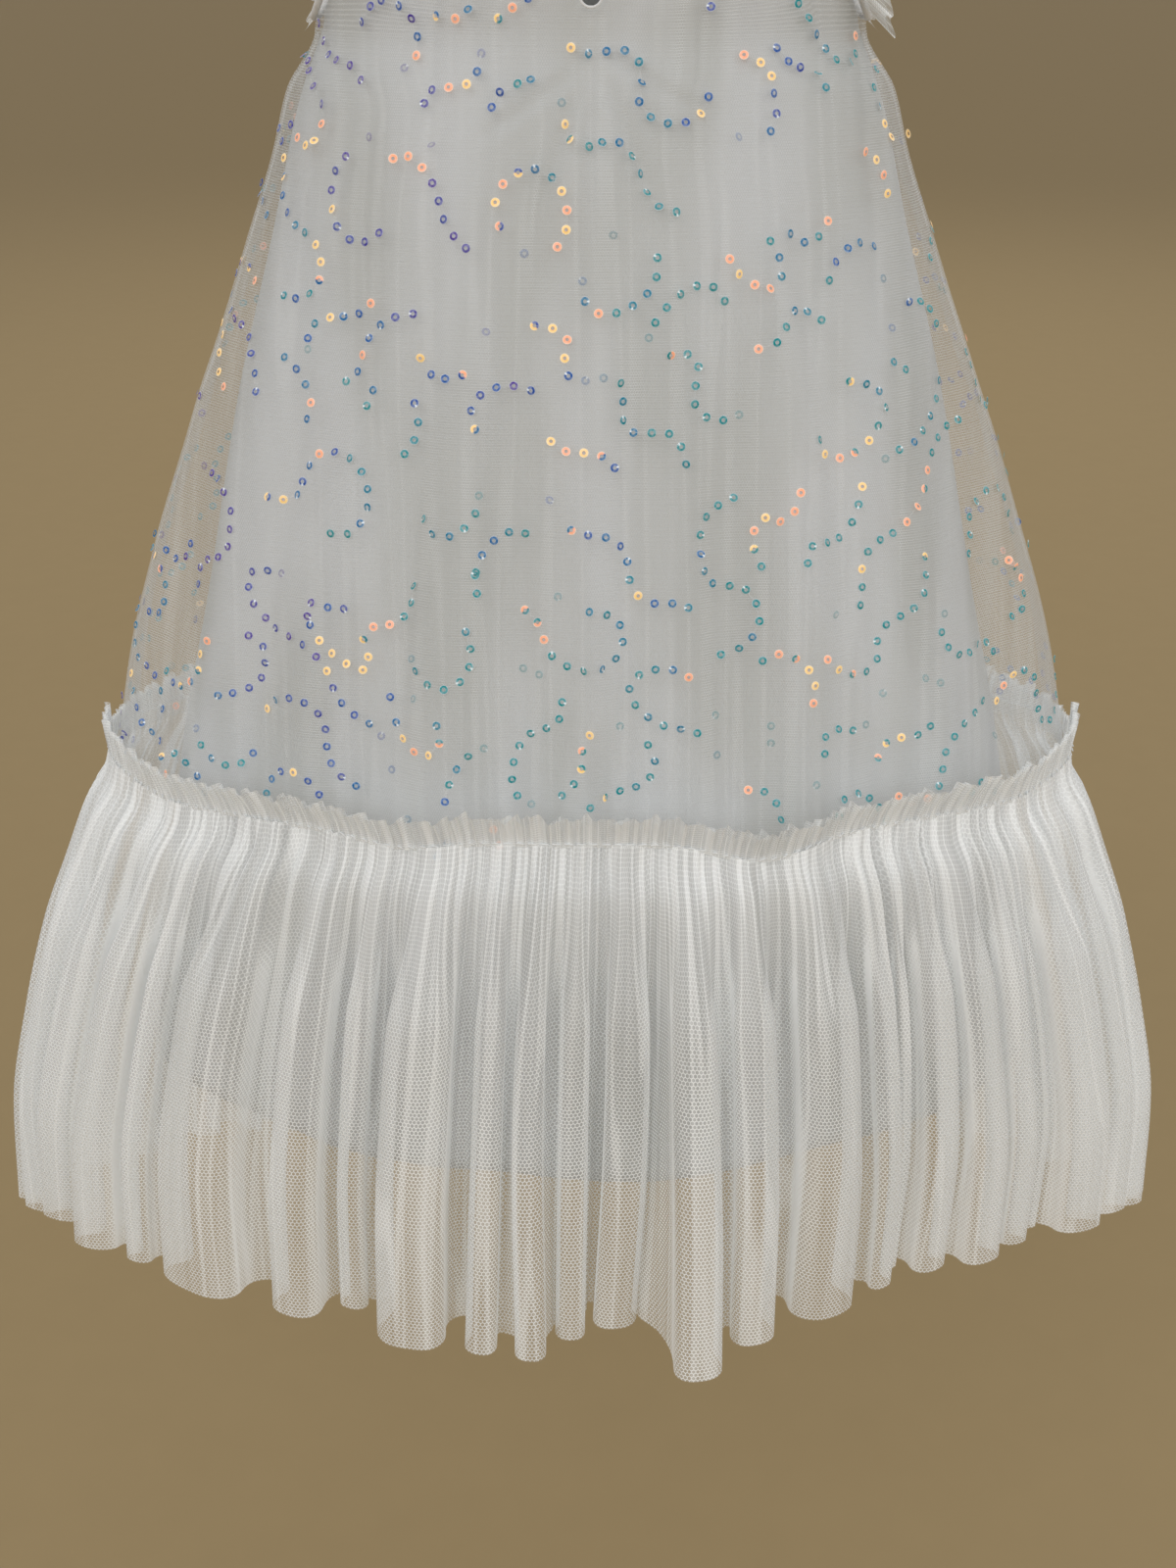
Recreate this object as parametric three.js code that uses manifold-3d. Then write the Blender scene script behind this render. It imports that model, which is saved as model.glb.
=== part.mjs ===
// A child's trapeze dress, hanging by its shoulders and standing open: a plain A-line lining, a wider
// overlay of net over it, a gathered net tier with a standing heading, two flutter sleeves, and a bound
// neck with a slit that a button and a thread loop close.
//
// Millimetres, +Z up, -Y towards the side with the neck slit. The origin is midway between the
// shoulders, where the dress is held, at the height of the shoulder seams' middle.
//
// Each cloth piece is a wall worked out from a form: a table of ellipses, one row for each height, that
// bend over to meet at the shoulder seams. Folds push the form in and out.
import * as THREE from "three";
import { mergeVertices } from "three/addons/utils/BufferGeometryUtils.js";
import Module from "manifold-3d";

// ---- Driving dimensions ----
const SEAM_GAP = 0.34; // between two pieces that are sewn together
const NET_WALL = 1.2; // wall of the overlay, the tier and the sleeves
const LINING_WALL = 1.2;
const LAYER_STEP = 2.8; // how far the lining lies inside the overlay, from face to face

const ARMPIT_Z = -140;
const LINING_HEM_Z = -562; // at the centre
const LINING_HEM_RISE = 24; // how much higher the lining's hem is at its sides
const STITCH_Z = -405; // the line that gathers the tier onto the overlay
const OVERLAY_HEM_Z = STITCH_Z - 5;
const TIER_HEM_Z = -635;

const SHOULDER_Z = 10; // the neck end of the shoulder seam
const SHOULDER_SLOPE = 0.65;
const SHOULDER_ROUND = 95; // height over which the cloth turns over the shoulder
const NECK_STEPS = 8; // columns of the cloth in a quarter of the neck
const NECK_HALF = 61; // half the width of the neck edge of the cloth
const NECK_DROP = { front: 74, back: 38 };
const BINDING_WIDTH = 6.5;
const BINDING_GAP = 0.5; // between the binding and the edges that it covers
const BINDING_PROUD = 0.5; // the binding stands this far off the overlay

const SLIT_BOTTOM_Z = -131;
const SLIT_ROUND = 3.8; // radius of the slit's bottom
const SLIT_WAIST = 3.1; // half the slit's width halfway up
const SLIT_TOP = 1.3; // half its width at the neck

const BUTTON_RADIUS = 4.6;
const BUTTON_THICK = 5.1;
const BUTTON_FOOT = 2.2; // how high its foot holds it, for the loop to pass under
const LOOP_WIRE = 0.7; // radius of the thread loop's own section

// ---- Forms: half widths and depths of the cloth, by height ----
// ridge is the Y of the side seams, and front and back are the depths from there. Seen from above a half
// is an ellipse, which bell turns, from 0 to 1, into a bell's outline that is thin towards its sides.
const OVERLAY_FORM = [
  { z: 15, half: 102, ridge: 0, front: 54, back: 44 },
  { z: -100, half: 99, ridge: 0, front: 55, back: 45 },
  { z: -140, half: 99.8, ridge: 0, front: 57, back: 46 },
  { z: -160, half: 111, ridge: -3, front: 60, back: 49 },
  { z: -181, half: 117, ridge: -7, front: 63, back: 53 },
  { z: -213, half: 129, ridge: -12, front: 68, back: 58 },
  { z: -245, half: 141, ridge: -18, front: 73, back: 64 },
  { z: -281, half: 155, ridge: -24, front: 78, back: 70 },
  { z: -320, half: 169, ridge: -31, front: 84, back: 77 },
  { z: -361, half: 182, ridge: -38, front: 89, back: 84 },
  { z: -410, half: 191.5, ridge: -46, front: 94, back: 91 },
];
const LINING_FORM = [
  { z: -140, half: 97, ridge: 0, front: 54.2, back: 43.2, bell: 0 },
  { z: -165, half: 107, ridge: -4, front: 57, back: 46, bell: 0 },
  { z: -207, half: 118, ridge: -11, front: 62, back: 53, bell: 0 },
  { z: -261, half: 133, ridge: -21, front: 68, back: 61, bell: 0 },
  { z: -339, half: 150, ridge: -34, front: 77, back: 70, bell: 0 },
  { z: -400, half: 164, ridge: -44, front: 83, back: 76, bell: 0 },
  { z: -480, half: 178, ridge: -51, front: 79, back: 75, bell: 0.17 },
  { z: -562, half: 190, ridge: -56, front: 73, back: 73, bell: 0.38 },
];
// Below the stitches the tier is fullest in the middle and flattens towards its sides.
const TIER_FORM = [
  { z: -398, half: 191.8, ridge: -44, front: 93.7, back: 90.7, bell: 0 },
  { z: -409, half: 192.6, ridge: -46, front: 95.2, back: 92.2, bell: 0 },
  { z: -422, half: 200, ridge: -48, front: 98.5, back: 95, bell: 0 },
  { z: -445, half: 209, ridge: -50, front: 99, back: 95, bell: 0.04 },
  { z: -480, half: 221, ridge: -53, front: 96, back: 95, bell: 0.14 },
  { z: -520, half: 232, ridge: -55, front: 93, back: 94, bell: 0.27 },
  { z: -575, half: 243, ridge: -58, front: 89, back: 92, bell: 0.45 },
  { z: -635, half: 247, ridge: -60, front: 85, back: 90, bell: 0.66 },
];
// How far round its half the cloth reaches at each height, in degrees: edge is the armhole's own, and
// middle is the reach that the columns near the middle keep to, so that they stand upright at the neck.
const ARMHOLE = [
  { z: -140, edge: 90, middle: 90 },
  { z: -132, edge: 75, middle: 84 },
  { z: -122, edge: 66.5, middle: 78 },
  { z: -105, edge: 59, middle: 70 },
  { z: -80, edge: 54.5, middle: 63 },
  { z: -50, edge: 54.5, middle: 60 },
  { z: -20, edge: 58, middle: 60 },
  { z: 15, edge: 63, middle: 60 },
];
// Heights of the grid's rows under the armpit, and shares of the way up from the armpit.
const OVERLAY_ROWS = [OVERLAY_HEM_Z, -396, -361, -320, -281, -245, -213, -181, -158];
const LINING_ROWS = [LINING_HEM_Z, -515, -460, -400, -339, -261, -207, -165];
const TIER_ROWS = [TIER_HEM_Z, -560, -490, -440, -416, -401];
const BODICE_SHARES = [0, 0.1, 0.27, 0.5, 0.72, 0.87, 0.955, 1];

// ---- Folds ----
// Soft troughs of the overlay, on one half: at runs from -1 to 1 between the side seams.
const OVERLAY_TROUGHS = [
  { at: -0.74, wide: 0.09, deep: 5 },
  { at: -0.47, wide: 0.08, deep: 6 },
  { at: -0.3, wide: 0.07, deep: 7.5 },
  { at: -0.09, wide: 0.06, deep: 5.5 },
  { at: 0.06, wide: 0.05, deep: 5 },
  { at: 0.2, wide: 0.07, deep: 7 },
  { at: 0.41, wide: 0.08, deep: 5.5 },
  { at: 0.67, wide: 0.09, deep: 6 },
];
const LINING_TROUGHS = [
  { at: -0.55, wide: 0.16, deep: 5 },
  { at: -0.12, wide: 0.14, deep: 6 },
  { at: 0.34, wide: 0.17, deep: 6 },
  { at: 0.76, wide: 0.12, deep: 4 },
];
// Flutes of the gathered tier on the front from one side seam to the other: wide is the share of the
// half that a flute takes, and set is how far it stands out of the form at the hem, or in from it.
const TIER_FLUTES = [
  { wide: 0.13, set: -2 },
  { wide: 0.12, set: 0 },
  { wide: 0.11, set: 3 },
  { wide: 0.095, set: 8 },
  { wide: 0.046, set: 7 },
  { wide: 0.146, set: 6 },
  { wide: 0.08, set: -1 },
  { wide: 0.041, set: -10 },
  { wide: 0.107, set: -1 },
  { wide: 0.046, set: -1 },
  { wide: 0.046, set: 2 },
  { wide: 0.043, set: -10 },
  { wide: 0.069, set: -15 },
  { wide: 0.072, set: 12 },
  { wide: 0.066, set: -2 },
  { wide: 0.106, set: -8 },
  { wide: 0.04, set: -8 },
  { wide: 0.026, set: -15 },
  { wide: 0.055, set: -9 },
  { wide: 0.068, set: -2 },
  { wide: 0.052, set: -3 },
  { wide: 0.03, set: -6 },
  { wide: 0.1, set: 2 },
  { wide: 0.1, set: 2 },
  { wide: 0.1, set: 2 },
  { wide: 0.108, set: 0 },
];
const FLUTE_DEPTH = { least: 2, perWide: 100, most: 11 }; // of a crest or a valley off the flute's middle
const HEM_LIFT = { perSet: 0.3, side: 15 }; // a flute set in hangs higher, and so do the sides
const TIER_SWELL = [
  { z: -401, share: 0.05 },
  { z: -415, share: 0.16 },
  { z: -435, share: 0.42 },
  { z: -490, share: 0.78 },
  { z: -635, share: 1 },
];
// Where a flute has its grid columns, and how far out the cloth is there, from -1 to 1.
const FLUTE_SHAPE = [
  { phase: 0, lift: -1 },
  { phase: 0.2, lift: 0.45 },
  { phase: 0.5, lift: 1 },
  { phase: 0.8, lift: 0.45 },
];

const HEADING_CRIMPS = 26; // on each half
const HEADING_CRIMP_DEPTH = 2.4;
const HEADING_HEIGHT = 13;
const HEADING_LEAN = 7.5; // how far out its top edge stands

const SLEEVE_PLEATS = 18;
const SLEEVE_DEPTH = { underarm: 15, shoulder: 50 };
const SLEEVE_PLEAT_DEPTH = 3.4;

// ---- Reading a table: a smooth curve through its rows, which never overshoots them ----
function along(table, key, name, at) {
  const falls = table[0][key] > table[table.length - 1][key];
  const rows = falls ? [...table].reverse() : table;
  if (at <= rows[0][key]) return rows[0][name];
  if (at >= rows[rows.length - 1][key]) return rows[rows.length - 1][name];
  const i = rows.findIndex((row) => row[key] > at) - 1;
  const [a, b] = [rows[i], rows[i + 1]];
  const span = b[key] - a[key];
  const slope = (p, q) => (q[name] - p[name]) / (q[key] - p[key]);
  const mid = slope(a, b);
  const ease = (outer) => (outer * mid > 0 ? (2 * outer * mid) / (outer + mid) : 0);
  const before = i > 0 ? ease(slope(rows[i - 1], a)) : mid;
  const after = i + 2 < rows.length ? ease(slope(b, rows[i + 2])) : mid;
  const t = (at - a[key]) / span;
  const rise = (3 - 2 * t) * t * t;
  return (
    a[name] * (1 - rise) + b[name] * rise + span * (before * t * (1 - t) ** 2 - after * t * t * (1 - t))
  );
}

const radians = THREE.MathUtils.degToRad;
const shoulderLine = (x) => SHOULDER_Z - SHOULDER_SLOPE * Math.max(0, Math.abs(x) - NECK_HALF);

// How much of its full depth the form has at a distance below the shoulder seam, from 0 to 1.
function turnOver(below) {
  const left = 1 - THREE.MathUtils.clamp(below / SHOULDER_ROUND, 0, 1);
  return (1 - left * left) ** 0.7;
}

// ---- A garment form: the point of the front or back half at a share round it and a height ----
class Form {
  constructor(table, side) {
    this.table = table;
    this.side = side;
    this.front = side === "front" ? -1 : 1; // sign of Y
  }
  at(name, z) {
    return along(this.table, "z", name, z);
  }
  bell(z) {
    return "bell" in this.table[0] ? this.at("bell", z) : 0;
  }
  turn(share, z) {
    const [edge, middle] = [along(ARMHOLE, "z", "edge", z), along(ARMHOLE, "z", "middle", z)];
    return radians(share * (middle + (edge - middle) * Math.abs(share) ** 3));
  }
  seamY(z) {
    return this.at("ridge", z) + (this.front * SEAM_GAP) / 2;
  }
  // share runs from -1 to 1, side to side. push moves the point in towards the middle.
  point(share, z, push = 0) {
    const turn = this.turn(share, z);
    const half = this.at("half", z) - push;
    const x = half * Math.sin(turn);
    const depth = (this.at(this.side, z) - push) * turnOver(shoulderLine(x) - z);
    const round = Math.cos(turn) * (1 - this.bell(z) * Math.sin(turn) ** 2);
    return new THREE.Vector3(x, this.seamY(z) + this.front * depth * round, z);
  }
  // The outward direction there, and straight up at the shoulder seam.
  normal(share, z) {
    if (shoulderLine(this.point(share, z).x) - z < 1) return new THREE.Vector3(0, 0, 1);
    const across = this.point(share + 0.002, z).sub(this.point(share - 0.002, z));
    const down = this.point(share, z - 0.5).sub(this.point(share, z));
    return across.cross(down).multiplyScalar(this.front).normalize();
  }
  // The point that lies this far out from the form.
  off(share, z, out) {
    return this.point(share, z).addScaledVector(this.normal(share, z), out);
  }
  // The share at which the form has this X at this height.
  shareOf(x, z) {
    const turn = Math.asin(x / this.at("half", z));
    let [low, high] = [-1, 1];
    while (high - low > 1e-7) {
      const middle = (low + high) / 2;
      if (this.turn(middle, z) < turn) low = middle;
      else high = middle;
    }
    return (low + high) / 2;
  }
}

// ---- Walls ----
// The two triangles of a cell of a grid of points, split along its shorter diagonal.
function cellOf(rows, i, j) {
  const [a, b, c, d] = [[i, j], [i, j + 1], [i + 1, j + 1], [i + 1, j]];
  const length = ([p, q], [r, s]) => rows[p][q].distanceTo(rows[r][s]);
  return length(a, c) <= length(b, d) ? [[a, b, c], [a, c, d]] : [[a, b, d], [b, c, d]];
}

// The points that lie thick behind a grid of points, along the grid's own normals.
function behind(rows, thick) {
  const sums = rows.map((row) => row.map(() => new THREE.Vector3()));
  const faces = rows.map((row) => row.map(() => []));
  const face = new THREE.Triangle();
  for (let i = 0; i + 1 < rows.length; i++) {
    for (let j = 0; j + 1 < rows[0].length; j++) {
      for (const corners of cellOf(rows, i, j)) {
        face.set(...corners.map(([p, q]) => rows[p][q]));
        const normal = face.getNormal(new THREE.Vector3());
        for (const [p, q] of corners) {
          sums[p][q].add(normal);
          faces[p][q].push(normal);
        }
      }
    }
  }
  return rows.map((row, i) =>
    row.map((point, j) => {
      const normal = sums[i][j].normalize();
      const lean = faces[i][j].reduce((sum, each) => sum + each.dot(normal), 0) / faces[i][j].length;
      return point.clone().addScaledVector(normal, -thick / Math.max(0.6, lean));
    }),
  );
}

// One closed wall between an outer and an inner grid of points of the same size.
function wallOf(outer, inner) {
  const [high, wide] = [outer.length, outer[0].length];
  const index = [];
  const out = (i, j) => i * wide + j;
  const under = (i, j) => high * wide + i * wide + j;
  const quad = (a, b, c, d) => index.push(a, b, c, a, c, d);
  for (let i = 0; i + 1 < high; i++) {
    for (let j = 0; j + 1 < wide; j++) {
      for (const [a, b, c] of cellOf(outer, i, j)) {
        index.push(out(...a), out(...b), out(...c), under(...a), under(...c), under(...b));
      }
    }
  }
  for (let j = 0; j + 1 < wide; j++) {
    quad(out(0, j), under(0, j), under(0, j + 1), out(0, j + 1));
    quad(out(high - 1, j), out(high - 1, j + 1), under(high - 1, j + 1), under(high - 1, j));
  }
  for (let i = 0; i + 1 < high; i++) {
    quad(out(i, 0), out(i + 1, 0), under(i + 1, 0), under(i, 0));
    quad(out(i, wide - 1), under(i, wide - 1), under(i + 1, wide - 1), out(i + 1, wide - 1));
  }
  const wall = new THREE.BufferGeometry();
  const points = [...outer.flat(), ...inner.flat()];
  wall.setAttribute("position", new THREE.Float32BufferAttribute(points.flatMap((p) => p.toArray()), 3));
  wall.setIndex(index);
  return wall;
}

// The points thick inside the rows of one half of the dress, which run from -X to +X and upwards.
const inside = (form, rows, thick) => behind(rows, -form.front * thick);

// The wall between the outer and inner rows of one half. The inner face stays on its own side of the
// side seams and the shoulder seam; seamZ holds those at one height.
function halfWall(form, rows, inner, seamZ) {
  for (const point of inner.flat()) {
    const seam = form.seamY(seamZ ?? point.z);
    if (form.front * (point.y - seam) < 0) point.y = seam;
  }
  const turned = (grid) => (form.front < 0 ? grid : grid.map((row) => [...row].reverse()));
  return wallOf(turned(rows), turned(inner));
}

// ---- Bodice panels: lining and overlay ----
// Columns of a half from its middle to the armhole: the neck's own lie where its curve has them.
function halfColumns(form, strapSteps) {
  const columns = [];
  for (let k = 0; k <= NECK_STEPS; k++) {
    const turn = (k / NECK_STEPS) * (Math.PI / 2);
    const top = SHOULDER_Z - NECK_DROP[form.side] * Math.cos(turn);
    columns.push({ share: form.shareOf(NECK_HALF * Math.sin(turn), top), top });
  }
  const neckShare = columns[NECK_STEPS].share;
  for (let k = 1; k <= strapSteps; k++) {
    const share = neckShare + ((1 - neckShare) * k) / strapSteps;
    columns.push({ share, top: shoulderTop(form, share) });
  }
  return columns;
}

// The height at which a column of the form meets the shoulder seam.
function shoulderTop(form, share) {
  let top = SHOULDER_Z;
  for (let step = 0; step < 8; step++) top = shoulderLine(form.point(share, top).x);
  return top;
}

// Under the armpit the panel follows its own form. Above it, it lies layer behind the overlay's form.
function panel({ form, layer, rowHeights, troughs, strapSteps, hemRise, thick }) {
  const bodice = overlay[form.side];
  const half = halfColumns(bodice, strapSteps);
  const columns = [...half.slice(1).reverse().map((c) => ({ share: -c.share, top: c.top })), ...half];
  const push = (share, z) => {
    const grow = THREE.MathUtils.smoothstep(-z, -ARMPIT_Z, -STITCH_Z);
    const deepen = (sum, { at, wide, deep }) => sum + deep * Math.exp(-(((share - at) / wide) ** 2));
    return grow * troughs.reduce(deepen, 0);
  };
  const lower = rowHeights.map((z, i) =>
    columns.map(({ share }) => {
      const rise = i === 0 ? hemRise * share * share : 0;
      return form.point(share, z + rise, push(share, z));
    }),
  );
  const upper = (out) =>
    BODICE_SHARES.map((part) =>
      columns.map(({ share, top }) => bodice.off(share, ARMPIT_Z + (top - ARMPIT_Z) * part, out)),
    );
  const rows = [...lower, ...upper(-layer)];
  const inner = [...inside(form, rows, thick).slice(0, lower.length), ...upper(-layer - thick)];
  return halfWall(form, rows, inner);
}

// ---- Gathered tier and its heading ----
function fluteColumns(flutes) {
  const total = flutes.reduce((sum, flute) => sum + flute.wide, 0);
  const columns = [];
  let start = 0;
  for (const { wide, set } of flutes) {
    const depth = Math.min(FLUTE_DEPTH.most, FLUTE_DEPTH.least + FLUTE_DEPTH.perWide * wide);
    for (const { phase, lift } of FLUTE_SHAPE) {
      columns.push({ share: (2 * (start + phase * wide)) / total - 1, out: lift * depth, set });
    }
    start += wide;
  }
  columns[0] = { share: -1, out: 0, set: 0 };
  columns.push({ share: 1, out: 0, set: 0 });
  for (let k = FLUTE_SHAPE.length; k + 1 < columns.length; k += FLUTE_SHAPE.length) {
    columns[k].set = (columns[k].set + columns[k - 1].set) / 2;
  }
  return columns;
}

// The points thick inside one level of the tier, square to its own outline.
function insideLevel(form, row, thick) {
  return row.map((point, j) => {
    const sides = [j - 1, j].filter((k) => k >= 0 && k + 1 < row.length);
    const normals = sides.map((k) => {
      const way = row[k + 1].clone().sub(row[k]);
      return new THREE.Vector3(way.y, -way.x, 0).normalize().multiplyScalar(-form.front);
    });
    const normal = normals.reduce((sum, each) => sum.add(each), new THREE.Vector3()).normalize();
    return point.clone().addScaledVector(normal, -thick / Math.max(0.7, normal.dot(normals[0])));
  });
}

function tier(form) {
  const columns = fluteColumns(form.front < 0 ? TIER_FLUTES : [...TIER_FLUTES].reverse());
  const rows = TIER_ROWS.map((z) => {
    const swell = along(TIER_SWELL, "z", "share", z);
    return columns.map(({ share, out, set }) => {
      const level = 1 - share ** 8; // the side seams hang straight
      const side = HEM_LIFT.side * Math.min(1, 2 * Math.abs(share)) ** 1.5;
      const down = (STITCH_Z - z) / (STITCH_Z - TIER_HEM_Z);
      const lift = Math.max(0, down) ** 2 * (side - HEM_LIFT.perSet * set * level);
      return form.point(share, z, -swell * level * (out + set * down)).setZ(z + lift);
    });
  });
  return halfWall(form, rows, rows.map((row) => insideLevel(form, row, NET_WALL)));
}

function heading(form) {
  const foot = TIER_ROWS[TIER_ROWS.length - 1] + SEAM_GAP;
  const steps = HEADING_CRIMPS * 4;
  const rows = [0, 1].map((up) =>
    Array.from({ length: steps + 1 }, (_, k) => {
      const crimp = Math.sin((k / 4) * 2 * Math.PI) * HEADING_CRIMP_DEPTH;
      const z = foot + up * HEADING_HEIGHT;
      const edge = form.point((2 * k) / steps - 1, foot, -up * (HEADING_LEAN + crimp));
      return edge.setZ(z);
    }),
  );
  return halfWall(form, rows, inside(form, rows, NET_WALL), foot);
}

// ---- Flutter sleeves: a pleated strip round each armhole, deepest at the shoulder ----
// The armhole's edge from the front underarm, over the shoulder, to the back underarm.
function armholeEdge(side, share) {
  const form = share < 0.5 ? overlay.front : overlay.back;
  const up = share < 0.5 ? share * 2 : (1 - share) * 2;
  const z = ARMPIT_Z + 4 + (shoulderTop(form, 1) - ARMPIT_Z - 4) * Math.sin((up * Math.PI) / 2);
  const edge = form.point(1, z);
  return edge.setX(side * edge.x);
}

function sleeve(side) {
  const steps = SLEEVE_PLEATS * 4;
  const rows = [0, 0.45, 1].map((down) =>
    Array.from({ length: steps + 1 }, (_, k) => {
      const share = k / steps;
      const over = Math.sin(share * Math.PI);
      const depth = SLEEVE_DEPTH.underarm + (SLEEVE_DEPTH.shoulder - SLEEVE_DEPTH.underarm) * over ** 1.2;
      const ahead = Math.cos(share * Math.PI);
      const away = new THREE.Vector3(side * 0.86, -0.5 * ahead, 0.3 * over - 0.12 * (1 - over)).normalize();
      const across = new THREE.Vector3(-side * 0.3, -ahead * 0.5, 0.2 + over).normalize();
      const pleat = Math.sin((k / 4) * 2 * Math.PI) * SLEEVE_PLEAT_DEPTH * down;
      const root = armholeEdge(side, share).addScaledVector(away, SEAM_GAP + 0.2);
      const droop = 0.55 * depth * over * down * down;
      return root
        .addScaledVector(away, depth * down)
        .addScaledVector(across, pleat)
        .add(new THREE.Vector3(0, 0, -droop));
    }),
  );
  const turned = side > 0 ? rows : rows.map((row) => [...row].reverse());
  return wallOf(turned, behind(turned, NET_WALL));
}

// ---- Neck: binding, slit, button and loop ----
// A point of the neck: turn runs from 0 at the front's middle right round, inward goes from the cloth's
// edge towards the opening, and out is the distance off the overlay's form.
function neckPoint(turn, inward, out) {
  const form = Math.cos(turn) > 0 ? overlay.front : overlay.back;
  const x = (NECK_HALF - inward) * Math.sin(turn);
  const z = SHOULDER_Z - (NECK_DROP[form.side] - inward) * Math.abs(Math.cos(turn));
  return form.off(form.shareOf(x, z), z, out);
}

// The band covers the edges of both layers, from just off the overlay to the lining's inner face.
function neckBinding() {
  const start = Math.asin(SLIT_TOP / NECK_HALF);
  const turns = Array.from({ length: 4 * NECK_STEPS + 1 }, (_, k) => ((k / NECK_STEPS) * Math.PI) / 2);
  turns[0] = start;
  turns[turns.length - 1] = 2 * Math.PI - start;
  const edges = [BINDING_GAP, BINDING_GAP + BINDING_WIDTH];
  const face = (out) => edges.map((inward) => turns.map((turn) => neckPoint(turn, inward, out)));
  return wallOf(face(BINDING_PROUD), face(-(LAYER_STEP + LINING_WALL)));
}

function slitCutter() {
  const foot = SLIT_BOTTOM_Z + SLIT_ROUND;
  const middle = (foot + SHOULDER_Z - NECK_DROP.front) / 2;
  const outline = new THREE.Shape();
  outline.moveTo(SLIT_TOP, SHOULDER_Z);
  outline.lineTo(SLIT_TOP, SHOULDER_Z - NECK_DROP.front);
  outline.lineTo(SLIT_WAIST, middle);
  outline.lineTo(SLIT_ROUND, foot);
  outline.absarc(0, foot, SLIT_ROUND, 0, -Math.PI, true);
  outline.lineTo(-SLIT_WAIST, middle);
  outline.lineTo(-SLIT_TOP, SHOULDER_Z - NECK_DROP.front);
  outline.lineTo(-SLIT_TOP, SHOULDER_Z);
  const reach = 90;
  const cutter = new THREE.ExtrudeGeometry(outline, { depth: reach, bevelEnabled: false, curveSegments: 8 });
  return cutter.rotateX(Math.PI / 2); // the outline's Y becomes Z, and it runs towards -Y
}

const wasm = await Module();
wasm.setup();

function solidOf(geometry) {
  const bare = geometry.clone();
  bare.deleteAttribute("normal");
  bare.deleteAttribute("uv");
  const merged = mergeVertices(bare, 1e-4);
  return new wasm.Manifold(
    new wasm.Mesh({
      numProp: 3,
      vertProperties: merged.getAttribute("position").array,
      triVerts: new Uint32Array(merged.index.array),
    }),
  );
}

function cutBy(geometry, cutter) {
  const mesh = solidOf(geometry).subtract(solidOf(cutter)).getMesh();
  const cut = new THREE.BufferGeometry();
  cut.setAttribute("position", new THREE.Float32BufferAttribute(mesh.vertProperties, 3));
  cut.setIndex([...mesh.triVerts]);
  return cut;
}

// A low dome on a short foot, both ends of its profile on the axis, and the axis along Y.
function buttonShape() {
  const profile = [
    [0, 0],
    [1.6, 0],
    [1.6, BUTTON_FOOT],
    [BUTTON_RADIUS * 0.8, BUTTON_FOOT + 0.1],
    [BUTTON_RADIUS, BUTTON_FOOT + 1],
    [BUTTON_RADIUS * 0.82, BUTTON_THICK - 0.8],
    [BUTTON_RADIUS * 0.45, BUTTON_THICK - 0.2],
    [0, BUTTON_THICK],
  ];
  const points = profile.map(([radius, height]) => new THREE.Vector2(radius, height));
  return new THREE.LatheGeometry(points, 16);
}

// A thread loop that starts and ends on the binding across the slit and goes round the button's foot.
function loopShape(reach) {
  const ring = 2.9;
  const path = new THREE.CatmullRomCurve3(
    [
      [reach + 3, 1.4],
      [reach, 1.3],
      [ring * 0.9, ring * 0.95],
      [0, ring],
      [-ring * 0.9, ring * 0.55],
      [-ring * 0.9, -ring * 0.55],
      [0, -ring],
      [ring * 0.9, -ring * 0.95],
      [reach, -1.3],
      [reach + 3, -1.4],
    ].map(([x, z]) => new THREE.Vector3(x, 0, z)),
  );
  const section = new THREE.Shape();
  section.absarc(0, 0, LOOP_WIRE, 0, 2 * Math.PI, false);
  const options = { steps: 30, extrudePath: path, curveSegments: 3, bevelEnabled: false };
  return new THREE.ExtrudeGeometry(section, options);
}

// ---- Assembly ----
const overlay = { front: new Form(OVERLAY_FORM, "front"), back: new Form(OVERLAY_FORM, "back") };
const lining = { front: new Form(LINING_FORM, "front"), back: new Form(LINING_FORM, "back") };
const tierForm = { front: new Form(TIER_FORM, "front"), back: new Form(TIER_FORM, "back") };

const finish = (color, roughness, opacity = 1) =>
  new THREE.MeshStandardMaterial({ color, roughness, opacity, transparent: opacity < 1 });
const LINING = finish(0xe6e6e8, 0.5);
const SEQUIN_NET = finish(0xeeeeea, 0.6, 0.5);
const NET = finish(0xf2f2f0, 0.75, 0.6);
const BINDING = finish(0xececec, 0.5);
const PEARL = finish(0xf3f0ea, 0.25);
const THREAD = finish(0xf0f0f0, 0.7);

const dress = new THREE.Group();

function add(name, geometry, material) {
  const mesh = new THREE.Mesh(geometry, material);
  mesh.name = name;
  dress.add(mesh);
  return mesh;
}

const slit = slitCutter();
for (const side of ["front", "back"]) {
  const overlayWall = panel({
    form: overlay[side],
    layer: 0,
    rowHeights: OVERLAY_ROWS,
    troughs: OVERLAY_TROUGHS,
    strapSteps: 9,
    hemRise: 0,
    thick: NET_WALL,
  });
  const liningWall = panel({
    form: lining[side],
    layer: LAYER_STEP,
    rowHeights: LINING_ROWS,
    troughs: LINING_TROUGHS,
    strapSteps: 5,
    hemRise: LINING_HEM_RISE,
    thick: LINING_WALL,
  });
  const opened = side === "front";
  add(`overlay_${side}`, opened ? cutBy(overlayWall, slit) : overlayWall, SEQUIN_NET);
  add(`lining_${side}`, opened ? cutBy(liningWall, slit) : liningWall, LINING);
  add(`tier_${side}`, tier(tierForm[side]), NET);
  add(`heading_${side}`, heading(tierForm[side]), NET);
}
add("sleeve_right", sleeve(1), NET);
add("sleeve_left", sleeve(-1), NET);
add("neck_binding", neckBinding(), BINDING);

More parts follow.
